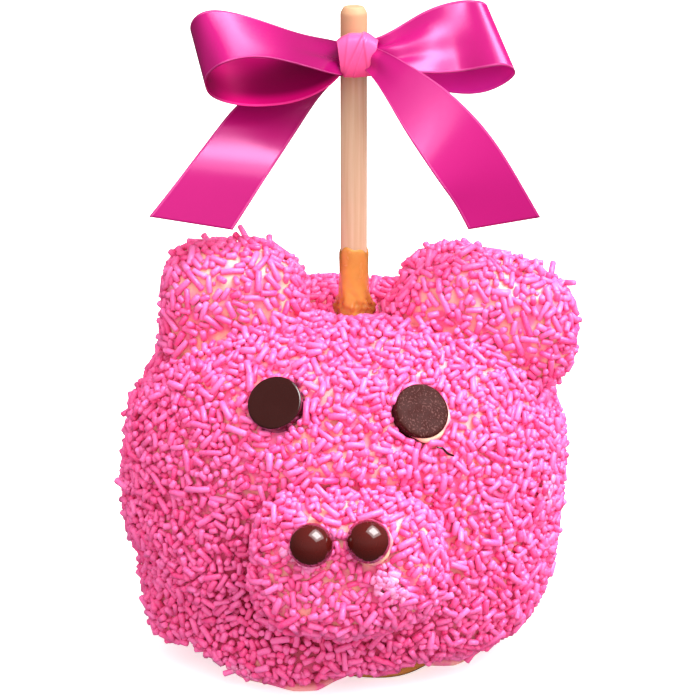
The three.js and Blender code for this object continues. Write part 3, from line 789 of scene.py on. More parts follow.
class Bed:
    """The coating's open surface as strands find it, and the beads of the strands that lie on it."""

    CELL = 4.6

    def __init__(self, drop):
        points, faces, owners, normals = [], [], [], []
        start = 0
        for index, name in enumerate(BODIES):
            bm = coat_body(name, drop)
            bm.normal_update()
            own = points_of(bm)
            tris = np.array([[v.index for v in f.verts] for f in bm.faces])
            normals.append(np.array([v.normal for v in bm.verts]))
            bm.free()
            middle = own[tris].mean(axis=1)
            bare = middle[:, 2] > TRAY
            for other in BODIES:
                if other != name:
                    bare &= depth_in(other, middle) < COVERED
            points.append(own)
            faces.append(tris[bare] + start)
            owners.append(np.full(bare.sum(), index))
            start += len(own)
        self.points = np.concatenate(points)
        self.faces = np.concatenate(faces)
        self.owners = np.concatenate(owners)
        self.normals = np.concatenate(normals)
        a, b, c = (self.points[self.faces[:, k]] for k in range(3))
        self.areas = np.linalg.norm(np.cross(b - a, c - a), axis=1) / 2
        self.tree = BVHTree.FromPolygons(self.points.tolist(), self.faces.tolist())
        self.beads = np.zeros((MOST_BEADS, 3))
        self.widths = np.zeros(MOST_BEADS)
        self.count = 0
        self.grid = {}
        self.strands = []

    def spots(self, count, rng, weight):
        """Random points of the open surface, thinned by a weight: places, normals and owners."""
        chance = self.areas * weight(self.points[self.faces].mean(axis=1), self.owners)
        pick = rng.choice(len(self.faces), count, p=chance / chance.sum())
        u, v = rng.random((2, count, 1))
        u, v = np.where(u + v > 1, 1 - u, u), np.where(u + v > 1, 1 - v, v)
        a, b, c = (self.faces[pick, k] for k in range(3))

        def mix(table):
            return table[a] + u * (table[b] - table[a]) + v * (table[c] - table[a])

        return mix(self.points), unit(mix(self.normals)), self.owners[pick]

    def above(self, point):
        """How high a point is over the coating, below nought inside it."""
        spot, normal, _, _ = self.tree.find_nearest(Vector(point))
        return (Vector(point) - spot).dot(normal)

    def cell(self, point):
        return tuple(int(math.floor(c / self.CELL)) for c in point)

    def near(self, point, reach):
        """The beads within reach of a point, and their widths."""
        x, y, z = self.cell(point)
        found = []
        for i in (x - 1, x, x + 1):
            for j in (y - 1, y, y + 1):
                for k in (z - 1, z, z + 1):
                    found += self.grid.get((i, j, k), ())
        if not found:
            return np.zeros((0, 3)), np.zeros(0)
        found = np.array(found)
        away = self.beads[found] - point
        close = (away * away).sum(axis=1) < reach * reach
        return self.beads[found[close]], self.widths[found[close]]

    def lay(self, centre, axis, normal, size, radius, owner):
        """Adds a strand."""
        self.block(centre, axis, size, radius)
        self.strands.append((centre, axis, normal, size, radius, owner))

    def block(self, centre, axis, size, radius):
        """Takes up the room of a strand or of another piece."""
        half = max(size / 2 - radius, 0)
        for s in np.linspace(-half, half, max(2, int(2 * half / BEAD_STEP) + 1)):
            bead = centre + axis * s
            self.beads[self.count] = bead
            self.widths[self.count] = radius
            self.grid.setdefault(self.cell(bead), []).append(self.count)
            self.count += 1


CLOSE = 0.88  # how near strands lie, as a share of the two radii
# for each body: how deep strands sink, how long they are, how readily they stick, how high they pile up,
# both in thicknesses, and how many stand on end
SUNK = {"head": 0.5, "ear_left": 0.75, "ear_right": 0.7, "snout": 0.25}
LENGTHS = {"head": 1.0, "ear_left": 1.15, "ear_right": 1.3, "snout": 1.0}
COVER = {"head": 1.0, "ear_left": 1.1, "ear_right": 1.1, "snout": 1.15}
PILED = {"head": 2.0, "ear_left": 0.6, "ear_right": 1.1, "snout": 2.0}
STANDING = {"head": 1.0, "ear_left": 0.3, "ear_right": 0.7, "snout": 1.0}
# tries, shortest, longest, share of the thickness, highest rest in thicknesses and steepest slope
ROUNDS = (
    (13000, 1.9, 5.3, 1.0, 0.5, 0.4),
    (17000, 1.5, 3.0, 1.0, 0.5, 0.5),
    (11000, 0.9, 1.6, 0.62, 0.6, 0.8),
    (12000, 1.9, 4.8, 1.0, 2.0, 0.8),
)
FIRST_ENDS = 5000  # tries to stand a strand on end before the rounds
LAST_ENDS = 22000  # and after them
TALL_ENDS = {"count": 300, "size": 4.4, "lift": (2.4, 1.2), "lean": (35, 30)}


def cover(points, owners):
    """How readily strands stick at each point."""
    share = np.array([COVER[name] for name in BODIES])[owners]
    for *middle, reach in HOLLOWS:
        share = share * (1 + 2 * nearness(points, middle, reach, 2))
    for *middle, reach, left, _ in BARE:
        share = share * (1 - (1 - left) * nearness(points, middle, reach, 4))
    return share


def settle(bed, point, normal, turns, size, radius, sunk):
    """Lets a strand down on a point in several turns; gives its lowest height there, slope and axis."""
    half = max(size / 2 - radius, 0.15)
    along = np.linspace(-half, half, 7)
    beads, widths = bed.near(point, half + 3.2)
    away = beads - point
    height = away @ normal
    flat = away - height[:, None] * normal
    side, other = sides_of(normal)
    best = None
    for turn in turns:
        axis = side * math.cos(turn) + other * math.sin(turn)
        # the coating alone bears the strand at its middle and both ends
        middle = radius * sunk
        ends = [radius * sunk - bed.above(point + axis * s) for s in (-half, half)]
        curve = along / max(half, 1e-6)
        need = middle + (ends[1] - ends[0]) / 2 * curve + ((ends[0] + ends[1]) / 2 - middle) * curve**2
        if len(beads):
            off = flat @ np.stack([axis, np.cross(normal, axis)], axis=1)
            gap = (off[None, :, 0] - along[:, None]) ** 2 + off[None, :, 1] ** 2
            touch = ((widths + radius) * CLOSE)[None, :] ** 2 - gap
            rest = np.where(touch > 0, height + np.sqrt(np.maximum(touch, 0)), -9)
            need = np.maximum(need, rest.max(axis=1))
        # the lowest straight line over all that it needs, and the slopes that it may have there
        left, right = need[:3, None], need[None, 4:]
        a, b = along[:3, None], along[None, 4:]
        top = max(((left * b - right * a) / (b - a)).max(), need[3])
        low = ((need[4:] - top) / along[4:]).max()
        high = ((need[:3] - top) / along[:3]).min()
        slope = min(max(0.0, low), high)
        score = top + 0.35 * half * abs(slope)
        if best is None or score < best[0]:
            best = (score, top, slope, axis)
    return best[1:]


def lay_strands(settings, drop):
    """Rolls the bodies in strands; gives them all, and how many of them are whole."""
    rng = np.random.default_rng(SEED)
    radius = settings.thickness / MM / 2
    bed = Bed(drop)
    block_face_pieces(bed)
    stand_strands(bed, rng, radius, FIRST_ENDS)
    for count, shortest, longest, wide, highest, steepest in ROUNDS:
        spots, normals, owners = bed.spots(count, rng, cover)
        draws = rng.random((count, 10))
        for point, normal, owner, draw in zip(spots, normals, owners, draws):
            body = BODIES[owner]
            size = shortest + (longest - shortest) * draw[0] ** 1.5
            if draw[9] < 0.05 and longest > 4:
                size += settings.longest / MM - longest
            size *= LENGTHS[body]
            thick = radius * wide * (0.9 + 0.2 * draw[1])
            top, slope, axis = settle(bed, point, normal, draw[3:6] * math.pi, size, thick, SUNK[body])
            if top > thick * (SUNK[body] + min(highest, PILED[body])) or abs(slope) > steepest:
                continue
            centre = point + normal * top
            if centre[2] - thick * 1.05 - abs(size / 2 * (axis[2] + slope * normal[2])) < 0:
                continue
            tilt = slope + 0.12 * PILED[body] * (draw[7] - 0.5)
            bed.lay(centre, unit(axis + tilt * normal), normal, size, thick, owner)
        if highest < 1:
            stand_strands(bed, rng, radius, count // 2)
    stand_strands(bed, rng, radius, LAST_ENDS)
    stand_strands(bed, rng, radius, **TALL_ENDS)
    whole = len(bed.strands)
    scatter_crumbs(bed, rng)
    return bed.strands, whole


def stand_strands(bed, rng, radius, count, size=2.8, lift=(0.3, 1.5), lean=(15, 50)):
    """Pushes strands end first into the gaps that are left."""
    share = np.array([STANDING[name] for name in BODIES])
    spots, normals, owners = bed.spots(count, rng, lambda p, o: cover(p, o) * share[o])
    draws = rng.random((len(spots), 4))
    for point, normal, owner, draw in zip(spots, normals, owners, draws):
        thick = radius * (0.92 + 0.16 * draw[0])
        tilt = math.radians(lean[0] + lean[1] * draw[1])
        turn = draw[2] * 2 * math.pi
        side, other = sides_of(normal)
        axis = normal * math.cos(tilt) + (side * math.cos(turn) + other * math.sin(turn)) * math.sin(tilt)
        top = point + normal * (lift[0] + lift[1] * draw[3])
        centre = top - axis * (size / 2 - thick)
        if top[2] < thick * 1.1 or centre[2] < thick:
            continue
        beads, widths = bed.near(top, 3.4)
        shaft = [top - axis * back for back in (0.0, 0.7, 1.4)]
        room = widths + thick * 0.9
        if len(beads) and any((np.linalg.norm(beads - spot, axis=1) < room).any() for spot in shaft):
            continue
        bed.lay(centre, axis, normal, size, thick, owner)


# crushed strands: middle, reach and how many
CRUMBS = (
    (8.6, -69.0, 36.6, 2.4, 46),
    (11.6, -68.8, 34.0, 1.8, 26),
    (46.6, -23.1, 44.1, 2.6, 36),
    (-25.5, -34.5, 3.0, 3.2, 40),
    (-12.4, -67.0, 42.5, 1.2, 12),
    (-8.6, -68.0, 40.2, 1.5, 12),
)


def scatter_crumbs(bed, rng):
    """Presses crushed strands on to a few places of the head and the snout."""
    for *middle, reach, count in CRUMBS:
        for draw in rng.standard_normal((count, 3)):
            spot, normal, _, _ = bed.tree.find_nearest(Vector(np.array(middle) + 0.55 * reach * draw))
            if spot.z > 0.8:
                normal = np.array(normal)
                size = 0.55 + 0.25 * abs(draw[0])
                place = np.array(spot) + normal * (1.8 + 0.3 * draw[1])
                owner = BODIES.index("snout" if spot.y < -50 else "head")
                axis = unit(np.cross(normal, rng.standard_normal(3)))
                bed.strands.append((place, axis, normal, 2.6 * size, size, owner))


def eye_place(name):
    """The point of the apple's surface under the middle of an eye, and the normal there."""
    turn, rise = (math.radians(a) for a in EYES[name])
    direction = np.array((math.sin(turn) * math.cos(rise), -math.cos(turn) * math.cos(rise), math.sin(rise)))
    return normal_of(apple_surface, direction)


def nostril_place(name):
    """The middle of a nostril, as the solids have it."""
    low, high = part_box(name)
    return (np.array(low) + np.array(high)) / 2 / MM


UPRIGHT = np.array((0, 0, 1.0))
EYE_RINGS = ((5.2, 22), (3.4, 14), (1.4, 6))  # radius and beads


def block_face_pieces(bed):
    """Keeps the strands off the eyes, the nostrils and the foot of the stick."""
    for name in EYES:
        point, normal = eye_place(name)
        side, other = sides_of(normal, UPRIGHT)
        for ring, count in EYE_RINGS:
            for angle in np.linspace(0, 2 * math.pi, count, endpoint=False):
                spot = point + ring * (math.cos(angle) * side + math.sin(angle) * other)
                for lift in (-0.8, 0.6, 2.0):
                    bed.block(spot + normal * lift, normal, 0, 0.8)
    for name in NOSTRILS:
        bed.block(nostril_place(name), UPRIGHT, 0, 4.6)
    for z in np.arange(76, 100, 0.8):
        bed.block(np.array((STICK_X, 0, z)), UPRIGHT, 0, 4.4 if z < 86 else 3.4)


def strand_shape(sides, bent):
    """A cut rod with blunt ends, one unit in radius, its rims near one unit from the middle."""
    bm = bmesh.new()
    bmesh.ops.create_cone(bm, cap_ends=True, segments=sides, radius1=1, radius2=1, depth=2)
    rims = [e for e in bm.edges if abs(e.verts[0].co.z - e.verts[1].co.z) < 0.1]
    bmesh.ops.bevel(bm, geom=rims, offset=0.36, segments=1, profile=0.5, affect="EDGES", material=-1)
    if bent:
        upright = [e for e in bm.edges if e.verts[0].co.z * e.verts[1].co.z < -0.1]
        bmesh.ops.subdivide_edges(bm, edges=upright, cuts=1)
    caps = [f for f in bm.faces if len(f.verts) == sides]
    bmesh.ops.poke(bm, faces=caps, offset=0.12)
    return shape_of(bm)


def crumb_shape():
    bm = bmesh.new()
    bmesh.ops.create_icosphere(bm, subdivisions=1, radius=1)
    return shape_of(bm)


def shape_of(bm):
    """The points and the faces of a bmesh, which is freed."""
    points, faces = points_of(bm), [[v.index for v in f.verts] for f in bm.faces]
    bm.free()
    return points, faces


def joined_copies(name, batches):
    """One mesh from batches of copies: their points in mm, the faces of their shape and their tints."""
    places, corners, sizes, tints = [], [], [], []
    start = 0
    for points, faces, tint in batches:
        count, each = points.shape[:2]
        shape = np.concatenate([np.array(f) for f in faces])
        places.append(points.reshape(-1, 3))
        corners.append((shape + start + np.arange(count)[:, None] * each).ravel())
        sizes.append(np.tile([len(f) for f in faces], count))
        tints.append(np.repeat(tint, each))
        start += count * each
    corners, sizes = np.concatenate(corners), np.concatenate(sizes)
    mesh = bpy.data.meshes.new(name)
    mesh.vertices.add(start)
    mesh.vertices.foreach_set("co", (np.concatenate(places) * MM).astype(np.float32).ravel())
    mesh.loops.add(len(corners))
    mesh.loops.foreach_set("vertex_index", corners.astype(np.int32))
    mesh.polygons.add(len(sizes))
    mesh.polygons.foreach_set("loop_start", (np.cumsum(sizes) - sizes).astype(np.int32))
    mark(mesh, "tint", np.concatenate(tints).astype(np.float32))
    mesh.update(calc_edges=True)
    mesh.validate()
    return mesh


def strand_points(strands, shape, rng, flat=1.0, rough=0.0):
    """Every strand's points: rods a little bent and uneven in thickness, or flat and rough crumbs."""
    count = len(strands)
    centre, axis, normal = (np.array([s[k] for s in strands]) for k in range(3))
    size, radius = (np.array([s[k] for s in strands]) for k in (3, 4))
    side = unit(np.cross(axis, normal) + 1e-4)
    up = np.cross(side, axis)
    half = np.maximum(size / 2 - 0.7 * radius, 0)[:, None]
    z = shape[:, 2]
    end = np.where(np.abs(z) < 0.05, 0.0, np.sign(z))
    along = half * end + 0.64 * radius[:, None] * z
    width = radius[:, None] * (1 + 0.05 * rng.standard_normal((count, 3))[:, (end + 1).astype(int)])
    bow = rng.uniform(-0.08, 0.08, count)[:, None] * half * (1 - end**2)
    rough = 1 + rough * rng.standard_normal((count, len(shape)))
    x = shape[:, 0] * width * rough + bow
    y = shape[:, 1] * width * rough * flat
    return (centre[:, None] + side[:, None] * x[..., None] + up[:, None] * y[..., None]
            + axis[:, None] * along[..., None])


SHORT, LONG, CRUSHED = range(3)  # kinds of strand
BENDS_FROM = 3.6  # strands longer than this are a little bent, mm
CRUMB_FORM = (0.5, 0.28)  # how flat and how rough crushed strands are
SECTORS = {"right": 315, "back": 45, "left": 135, "front": 225}  # where each quarter of the head starts


class PIG_OT_strands(bpy.types.Operator):
    """Rolls the coated head, ears and snout in sugar strands"""

    bl_idname = "pig.strands"
    bl_label = "Roll in Sugar Strands"

    def execute(self, context):
        settings = context.scene.pig_strands
        material = strand_finish(settings)
        strands, whole = lay_strands(settings, context.scene.pig_coat.drop / MM)
        rng = np.random.default_rng(SEED + 1)
        tint = np.clip(rng.normal(0.5, 0.28, len(strands)), 0, 1)
        tint[whole:] = 1 + 0.9 * tint[whole:]
        centres, size, radius, owners = (np.array([s[k] for s in strands]) for k in (0, 3, 4, 5))
        kinds = np.where(size > BENDS_FROM, LONG, SHORT)
        kinds[radius < 0.35 * settings.thickness / MM] = CRUSHED
        kinds[whole:] = CRUSHED
        shapes = {SHORT: strand_shape(7, False), LONG: strand_shape(7, True), CRUSHED: crumb_shape()}
        angle = np.degrees(around(centres)) % 360
        for index, name in enumerate(BODIES):
            own = owners == index
            groups = {f"{name}_strands": own}
            if name == "head":
                groups = {f"head_strands_{key}": own & ((angle - start) % 360 < 90)
                          for key, start in SECTORS.items()}
            for key, group in groups.items():
                batches = []
                for kind, (shape, faces) in shapes.items():
                    which = np.flatnonzero(group & (kinds == kind))
                    form = CRUMB_FORM if kind == CRUSHED else ()
                    points = strand_points([strands[i] for i in which], shape, rng, *form)
                    batches.append((points, faces, tint[which]))
                piece_with(joined_copies(key, batches), key, material, name)
        return {"FINISHED"}


# ------------------------------------------------------------------ chocolate
def rounded_profile(radius, height, soft, steps=5):
    """A flat drop's section, with a soft upper edge and a tighter lower one."""
    tight = soft * 0.4
    turns = [math.pi / 2 * k / steps for k in range(steps + 1)]
    profile = [(0, 0), (radius * 0.5, 0), (radius - tight, 0)]
    profile += [(radius - tight * (1 - math.sin(a)), tight * (1 - math.cos(a))) for a in turns[1:]]
    profile += [(radius - soft * (1 - math.cos(a)), height - soft * (1 - math.sin(a))) for a in turns]
    # the top is a little hollow
    for k in range(1, 7):
        across = 1 - k / 6
        profile.append(((radius - soft) * across, height - 0.07 * (1 - across**4)))
    profile[-1] = (0, profile[-1][1])
    return profile


class PIG_OT_face(bpy.types.Operator):
    """Presses in the flat chocolate eyes and the chocolate nostrils"""

    bl_idname = "pig.face"
    bl_label = "Press In Face"

    def execute(self, context):
        settings = context.scene.pig_chocolate
        glossy = chocolate_finish(settings, "Glossy Chocolate", settings.dark)
        red = chocolate_finish(settings, "Red Chocolate", settings.red)
        self.eye("eye_left", settings, glossy)
        self.eye("eye_right", settings, bloomed_finish(settings))
        for name in NOSTRILS:
            bm = bmesh.new()
            bmesh.ops.create_uvsphere(bm, u_segments=48, v_segments=32, radius=settings.nostril / MM / 2)
            bmesh.ops.rotate(bm, cent=(0, 0, 0), matrix=Matrix.Rotation(math.pi / 2, 3, "X"), verts=bm.verts)
            bmesh.ops.translate(bm, vec=nostril_place(name), verts=bm.verts)
            piece_from(bm, f"{name}_ball", red, name)
        self.shaving(glossy)
        return {"FINISHED"}

    @staticmethod
    def eye(name, settings, material):
        """A flat drop pressed into the apple, whose finish may differ towards its rim."""
        radius = settings.eye / MM / 2
        point, normal = eye_place(name)
        bm = spun(rounded_profile(radius, EYE_THICKNESS, 0.5), 72)
        across = np.hypot(*points_of(bm)[:, :2].T) / radius
        stand_on(bm, point - normal * EYE_SUNK, normal)
        piece = piece_from(bm, f"{name}_drop", material, name)
        mark(piece.data, "middle", 1 - smooth(across, 0.75, 0.97))

    @staticmethod
    def shaving(material):
        """A curled thread of chocolate that fell beside the right eye."""
        bm = spun([(0, -2.5), (0.16, -2.4), (0.3, -1), (0.34, 0.6), (0.22, 2.2), (0, 2.5)], 10)
        p = points_of(bm)
        bend = 0.5 * np.sin(p[:, 2] * 1.1)
        middle, right, down = np.array(SHAVING)
        away = unit(np.cross(right, down))
        p = (middle + unit(right) * p[:, 2:] + unit(down) * (p[:, :1] + bend[:, None])
             + away * p[:, 1:2] * 0.6)
        set_points(bm, p)
        bmesh.ops.recalc_face_normals(bm, faces=bm.faces)
        piece_from(bm, "chocolate_shaving", material, None)


# ------------------------------------------------------------------ stick and caramel
class PIG_OT_stick(bpy.types.Operator):
    """Turns the chamfered wooden stick"""

    bl_idname = "pig.stick"
    bl_label = "Turn Stick"

    def execute(self, context):
        settings = context.scene.pig_stick
        radius = settings.width / MM / 2
        profile = [(0, STICK_BOTTOM), (radius - 0.3, STICK_BOTTOM), (radius, STICK_BOTTOM + 0.3)]
        profile += [(radius, z) for z in np.linspace(STICK_BOTTOM + 4, STICK_TOP - 2.2, 30)]
        profile += [(radius - inward, STICK_TOP - under) for inward, under in STICK_END]
        profile += [(0, STICK_TOP)]
        bm = spun(profile, 48)
        bmesh.ops.translate(bm, vec=(STICK_X, 0, 0), verts=bm.verts)
        piece_from(bm, "wooden_stick", wood_finish(settings), "stick")
        return {"FINISHED"}


class PIG_OT_caramel(bpy.types.Operator):
    """Draws caramel up the foot of the stick and lays the pad of it under the apple"""

    bl_idname = "pig.caramel"
    bl_label = "Pour Caramel"

    def execute(self, context):
        settings = context.scene.pig_stick
        material = caramel_finish(settings)
        self.collar(settings, material)
        self.pad(material)
        return {"FINISHED"}

    @staticmethod
    def collar(settings, material):
        """Caramel in a lumpy ring where the stick goes in, and in a film above it."""
        wall = settings.width / MM / 2
        foot, fine_top = COLLAR_HEIGHTS[0], 87.0
        profile = [(wall - 0.4, foot)]
        for z in np.linspace(foot, fine_top, 22):
            profile.append((wall + np.interp(z, COLLAR_HEIGHTS, COLLAR_OUT), z))
        profile += [(wall + out, z) for z, out in zip(COLLAR_HEIGHTS, COLLAR_OUT) if z > fine_top]
        profile += [(wall - 0.4, 96.0)]
        bm = spun(profile, 96, ring=True)
        p = points_of(bm)
        angle = around(p)
        across = np.hypot(p[:, 0], p[:, 1])
        out = np.maximum(across - wall, 0)
        wave = 0.3 * np.sin(3 * angle + 0.6) + 0.2 * np.sin(5 * angle) + 0.2 * np.sin(7 * angle + p[:, 2])
        knob = np.sin(9 * angle + 1.3 * p[:, 2]) * np.sin(2.4 * p[:, 2] - 4 * angle)
        wave = wave + 0.4 * knob * smooth(out, 0.5, 1.0)
        drip = 0.6 * np.sin(2 * angle - 1) + 0.3 * np.sin(5 * angle)
        p[:, :2] *= ((across + out * wave) / across)[:, None]
        p[:, 2] += smooth(p[:, 2], 93, 96) * drip + smooth(out, 0.5, 1.6) * 0.9 * np.sin(2 * angle + 2.5)
        p[:, 0] += STICK_X
        set_points(bm, p)
        piece = piece_from(bm, "stick_caramel", material, "caramel_collar")
        # painted shade: the caramel turns darker towards the stick's left and right sides
        side_shade = np.abs(np.cos(angle)) ** 3
        film = 0.3 * np.exp(-(((p[:, 2] - 94.5) / 1.0) ** 2))
        thick = smooth(out, 0.4, 1.2) * (0.6 + 0.4 * knob) + 0.3 * side_shade + film - 0.1
        mark(piece.data, "thick", np.clip(thick, 0, 1))

    @staticmethod
    def pad(material):
        """The flat pad of caramel that the apple stands on, drawn out at the front."""
        bm = spun(PAD_SECTION, 144)
        p = points_of(bm)
        angle = around(p)
        away = np.mod(np.degrees(angle) + 63 + 180, 360) - 180
        reach = 26 + 4 * np.exp(-((away / 30) ** 2)) + 0.7 * np.sin(4 * angle + 0.5) + 0.4 * np.sin(9 * angle)
        height = 3.4 + 0.4 * np.sin(6 * angle + 1)
        p *= np.stack([reach, reach, height], axis=1)
        set_points(bm, p)
        piece = piece_from(bm, "caramel_pad", material, "caramel_foot")
        mark(piece.data, "thick", np.full(len(p), 0.6))


# ------------------------------------------------------------------ ribbon bow
def along_stations(stations, share):
    """Rows of numbers on a smooth curve that passes through evenly numbered stations."""

    def widen(rows):
        return np.concatenate([2 * rows[:1] - rows[1:2], rows, 2 * rows[-1:] - rows[-2:-1]])

    wide = widen(stations)
    sharp = widen(stations - (wide[2:] - 2 * stations + wide[:-2]) / 6)
    at = np.clip(share, 0, 1) * (len(stations) - 1)
    first = np.minimum(at.astype(int), len(stations) - 2)
    f = (at - first)[:, None]
    weights = ((1 - f) ** 3, 3 * f**3 - 6 * f**2 + 4, -3 * f**3 + 3 * f**2 + 3 * f + 1, f**3)
    return sum(w * sharp[first + k] for k, w in enumerate(weights)) / 6


def strip_place(stations, pleats):
    """The middle surface of a strip between its two edges, with pleats that fade away from the knot."""
    stations = np.array(stations)

    def on(u, v):
        row = along_stations(stations, u)
        return row[:, 3:] + (row[:, :3] - row[:, 3:]) * (v[:, None] + 0.5)

    def place(u, v):
        here = on(u, v)
        ahead = on(u + 0.01, v) - on(u - 0.01, v)
        normal = unit(np.cross(ahead, on(u, 0 * v + 0.5) - on(u, 0 * v - 0.5)))
        away = np.linalg.norm(on(u, 0 * v) - KNOT_CENTRE, axis=1)
        return here + normal * pleats(u, v, away)[:, None]

    return place


def near_knot(away, run):
    """A share that falls from one at the knot with the way from it."""
    return np.exp(-((away / run) ** 2))


def loop_left_pleats(u, v, away):
    front = 1 - smooth(u, 0.3, 0.5)
    crease = 0.5 * np.exp(-((v + 0.02) / 0.13) ** 2) * near_knot(away, 9.5)
    return front * crease + 0.5 * near_knot(away, 8) * np.sin(2 * math.pi * 1.8 * v + 0.4)


def loop_right_pleats(u, v, away):
    front = 1 - smooth(u, 0.3, 0.5)
    fan = near_knot(away, 15) * np.sin(2 * math.pi * (2.1 * v + 0.12)) * smooth(v, -0.42, -0.1)
    return 0.8 * front * fan + 0.45 * near_knot(away, 8) * np.sin(2 * math.pi * 1.6 * v + 1.0)


def tail_pleats(u, v, away):
    return 0.4 * near_knot(away, 9) * np.sin(2 * math.pi * 1.5 * v + 0.5)


PLEATS = {
    "bow_loop_left": loop_left_pleats,
    "bow_loop_right": loop_right_pleats,
    "bow_tail_left": tail_pleats,
    "bow_tail_right": tail_pleats,
}


def loop_left_painted_light(u, v):
    """Painted light and shade on the left loop's satin: painted shade near the knot on the front, painted
    light towards the loop's end and along its lower edge on the back half.
    """
    front = 1 - 0.3 * (1 - smooth(u, 0.14, 0.26))
    end = 0.8 * np.exp(-(((u - 0.69) / 0.05) ** 2)) * (1 - smooth(v, 0.1, 0.4))
    lower_edge_light = 1.5 * smooth(-v, 0.22, 0.42)
    return np.where(u < 0.5, front, 1 + end + lower_edge_light * smooth(u, 0.62, 0.75))


def knot_place(u, v):
    """The band of the knot, from its front over its top: narrower below and domed above."""
    angle = 2 * math.pi * u
    front, rise = np.cos(angle), np.sin(angle)
    fold = 0
    for at, slope, high, fade in KNOT_FOLDS:
        beyond = v - at - slope * rise
        fold = fold + high * smooth(beyond, -0.03, 0.03) * np.exp(-np.abs(beyond) / fade)
    edge = np.abs(2 * v) ** 2.4
    reach = squareness(front, rise, 0 * angle, 2.8) * (1 - edge * (0.12 + 0.26 * np.maximum(rise, 0) ** 2))
    y = -((KNOT_HALF[1] + 0.3) * reach + fold) * front
    z = ((KNOT_HALF[2] + 0.2) * reach + 0.4 * fold) * rise
    return KNOT_CENTRE + np.stack([v * (8.3 + 1.1 * rise), y, z], axis=1)


def turn_place(u, v):
    """The gathered turn of ribbon round the stick, behind the knot."""
    angle = 2 * math.pi * u
    reach = 3.1 + 0.95 + 0.5 * np.sin(2 * math.pi * 2.6 * v + 0.4 * np.sin(angle))
    height = KNOT_CENTRE[2] - 1.8 + v * 6.2 + 0.3 * np.sin(angle)
    return np.stack([STICK_X + reach * np.cos(angle), reach * np.sin(angle), height], axis=1)


# the steps along and across each kind of strip, its length in mm and how it is held
LOOP_CUT = ((140, 44), 78, "folded")
TAIL_CUT = ((90, 44), 52, "hung")
KNOT_CUT = ((90, 64), 20, "folded")
TURN_CUT = ((90, 30), 16, "gathered")


def ribbon_sheet(name, node, place, cut, settings, materials, tone=None):
    """A strip of ribbon whose middle surface is given by place(along, across)."""
    steps, long, held = cut
    outer, inner = materials
    bm = bmesh.new()
    bm.loops.layers.uv.new("UVMap")
    bmesh.ops.create_grid(bm, x_segments=steps[0], y_segments=steps[1], size=1, calc_uvs=True)
    grid = points_of(bm)
    along, across = (grid[:, 0] + 1) / 2, grid[:, 1] / 2
    set_points(bm, place(along, across))
    # the painted tone of light and shade, one where none is painted
    painted_tone = bm.verts.layers.float.new("painted_tone")
    for vert, depth in zip(bm.verts, tone(along, across) if tone else np.ones(len(along))):
        vert[painted_tone] = depth
    bmesh.ops.remove_doubles(bm, verts=bm.verts, dist=0.01)
    uv = bm.loops.layers.uv.active
    for face in bm.faces:
        for loop in face.loops:
            loop[uv].uv.x *= long / RIBBON_WIDTH
    piece = piece_from(bm, name, outer, node)
    wall = piece.modifiers.new("Cloth", "SOLIDIFY")
    wall.thickness = settings.thickness
    wall.offset = 0
    wall.material_offset = 1
    piece.data.materials.append(inner)


class PIG_OT_bow(bpy.types.Operator):
    """Ties the satin ribbon round the stick in a bow"""

    bl_idname = "pig.bow"
    bl_label = "Tie Bow"

    def execute(self, context):
        settings = context.scene.pig_ribbon
        right = satin_finish(settings, "Satin Ribbon", 1.0)
        # the wrong side is duller, and its darker colour is painted shade inside the left loop
        shaded_wrong_side = satin_finish(settings, "Satin Wrong Side Painted Shade", 0.05, (0.72, 0.3, 0.55))
        # painted light: a paler copy of the satin for the inside of the right loop
        painted_light_inside = satin_finish(settings, "Satin Painted Light Inside", 0.1, (1.85, 5.0, 2.65))
        # painted light: a paler copy of the satin for the knot
        painted_light_knot = satin_finish(settings, "Tied Satin Painted Light", 0.45, (2.2, 26.0, 2.2))
        sides = dict.fromkeys(STRIPS, (right, right))
        sides["bow_loop_left"] = (shaded_wrong_side, right)
        sides["bow_loop_right"] = (right, painted_light_inside)
        for node, stations in STRIPS.items():
            place = strip_place(stations, PLEATS[node])
            cut = LOOP_CUT if "loop" in node else TAIL_CUT
            tone = loop_left_painted_light if node == "bow_loop_left" else None
            ribbon_sheet(f"{node}_satin", node, place, cut, settings, sides[node], tone)
        ribbon_sheet("bow_knot_satin", "bow_knot", knot_place, KNOT_CUT, settings, (painted_light_knot, painted_light_knot))
        ribbon_sheet("bow_turn_satin", "bow_knot", turn_place, TURN_CUT, settings, (right, right))
        return {"FINISHED"}


# ------------------------------------------------------------------ stage
CAMERA_TARGET = Vector((0.94, 0, 71.4)) * MM
CAMERA_DISTANCE = 0.850
CAMERA_RISE = 15
CAMERA_LENS = 186.0
LIGHT_TARGET = Vector((0, 0, 0.06))
LIGHT_SIDE = Vector((0.43, -0.264, 0.868)).normalized()
FRONT_RIGHT = (0.5, -0.86, 0)  # where the surrounding light is strongest


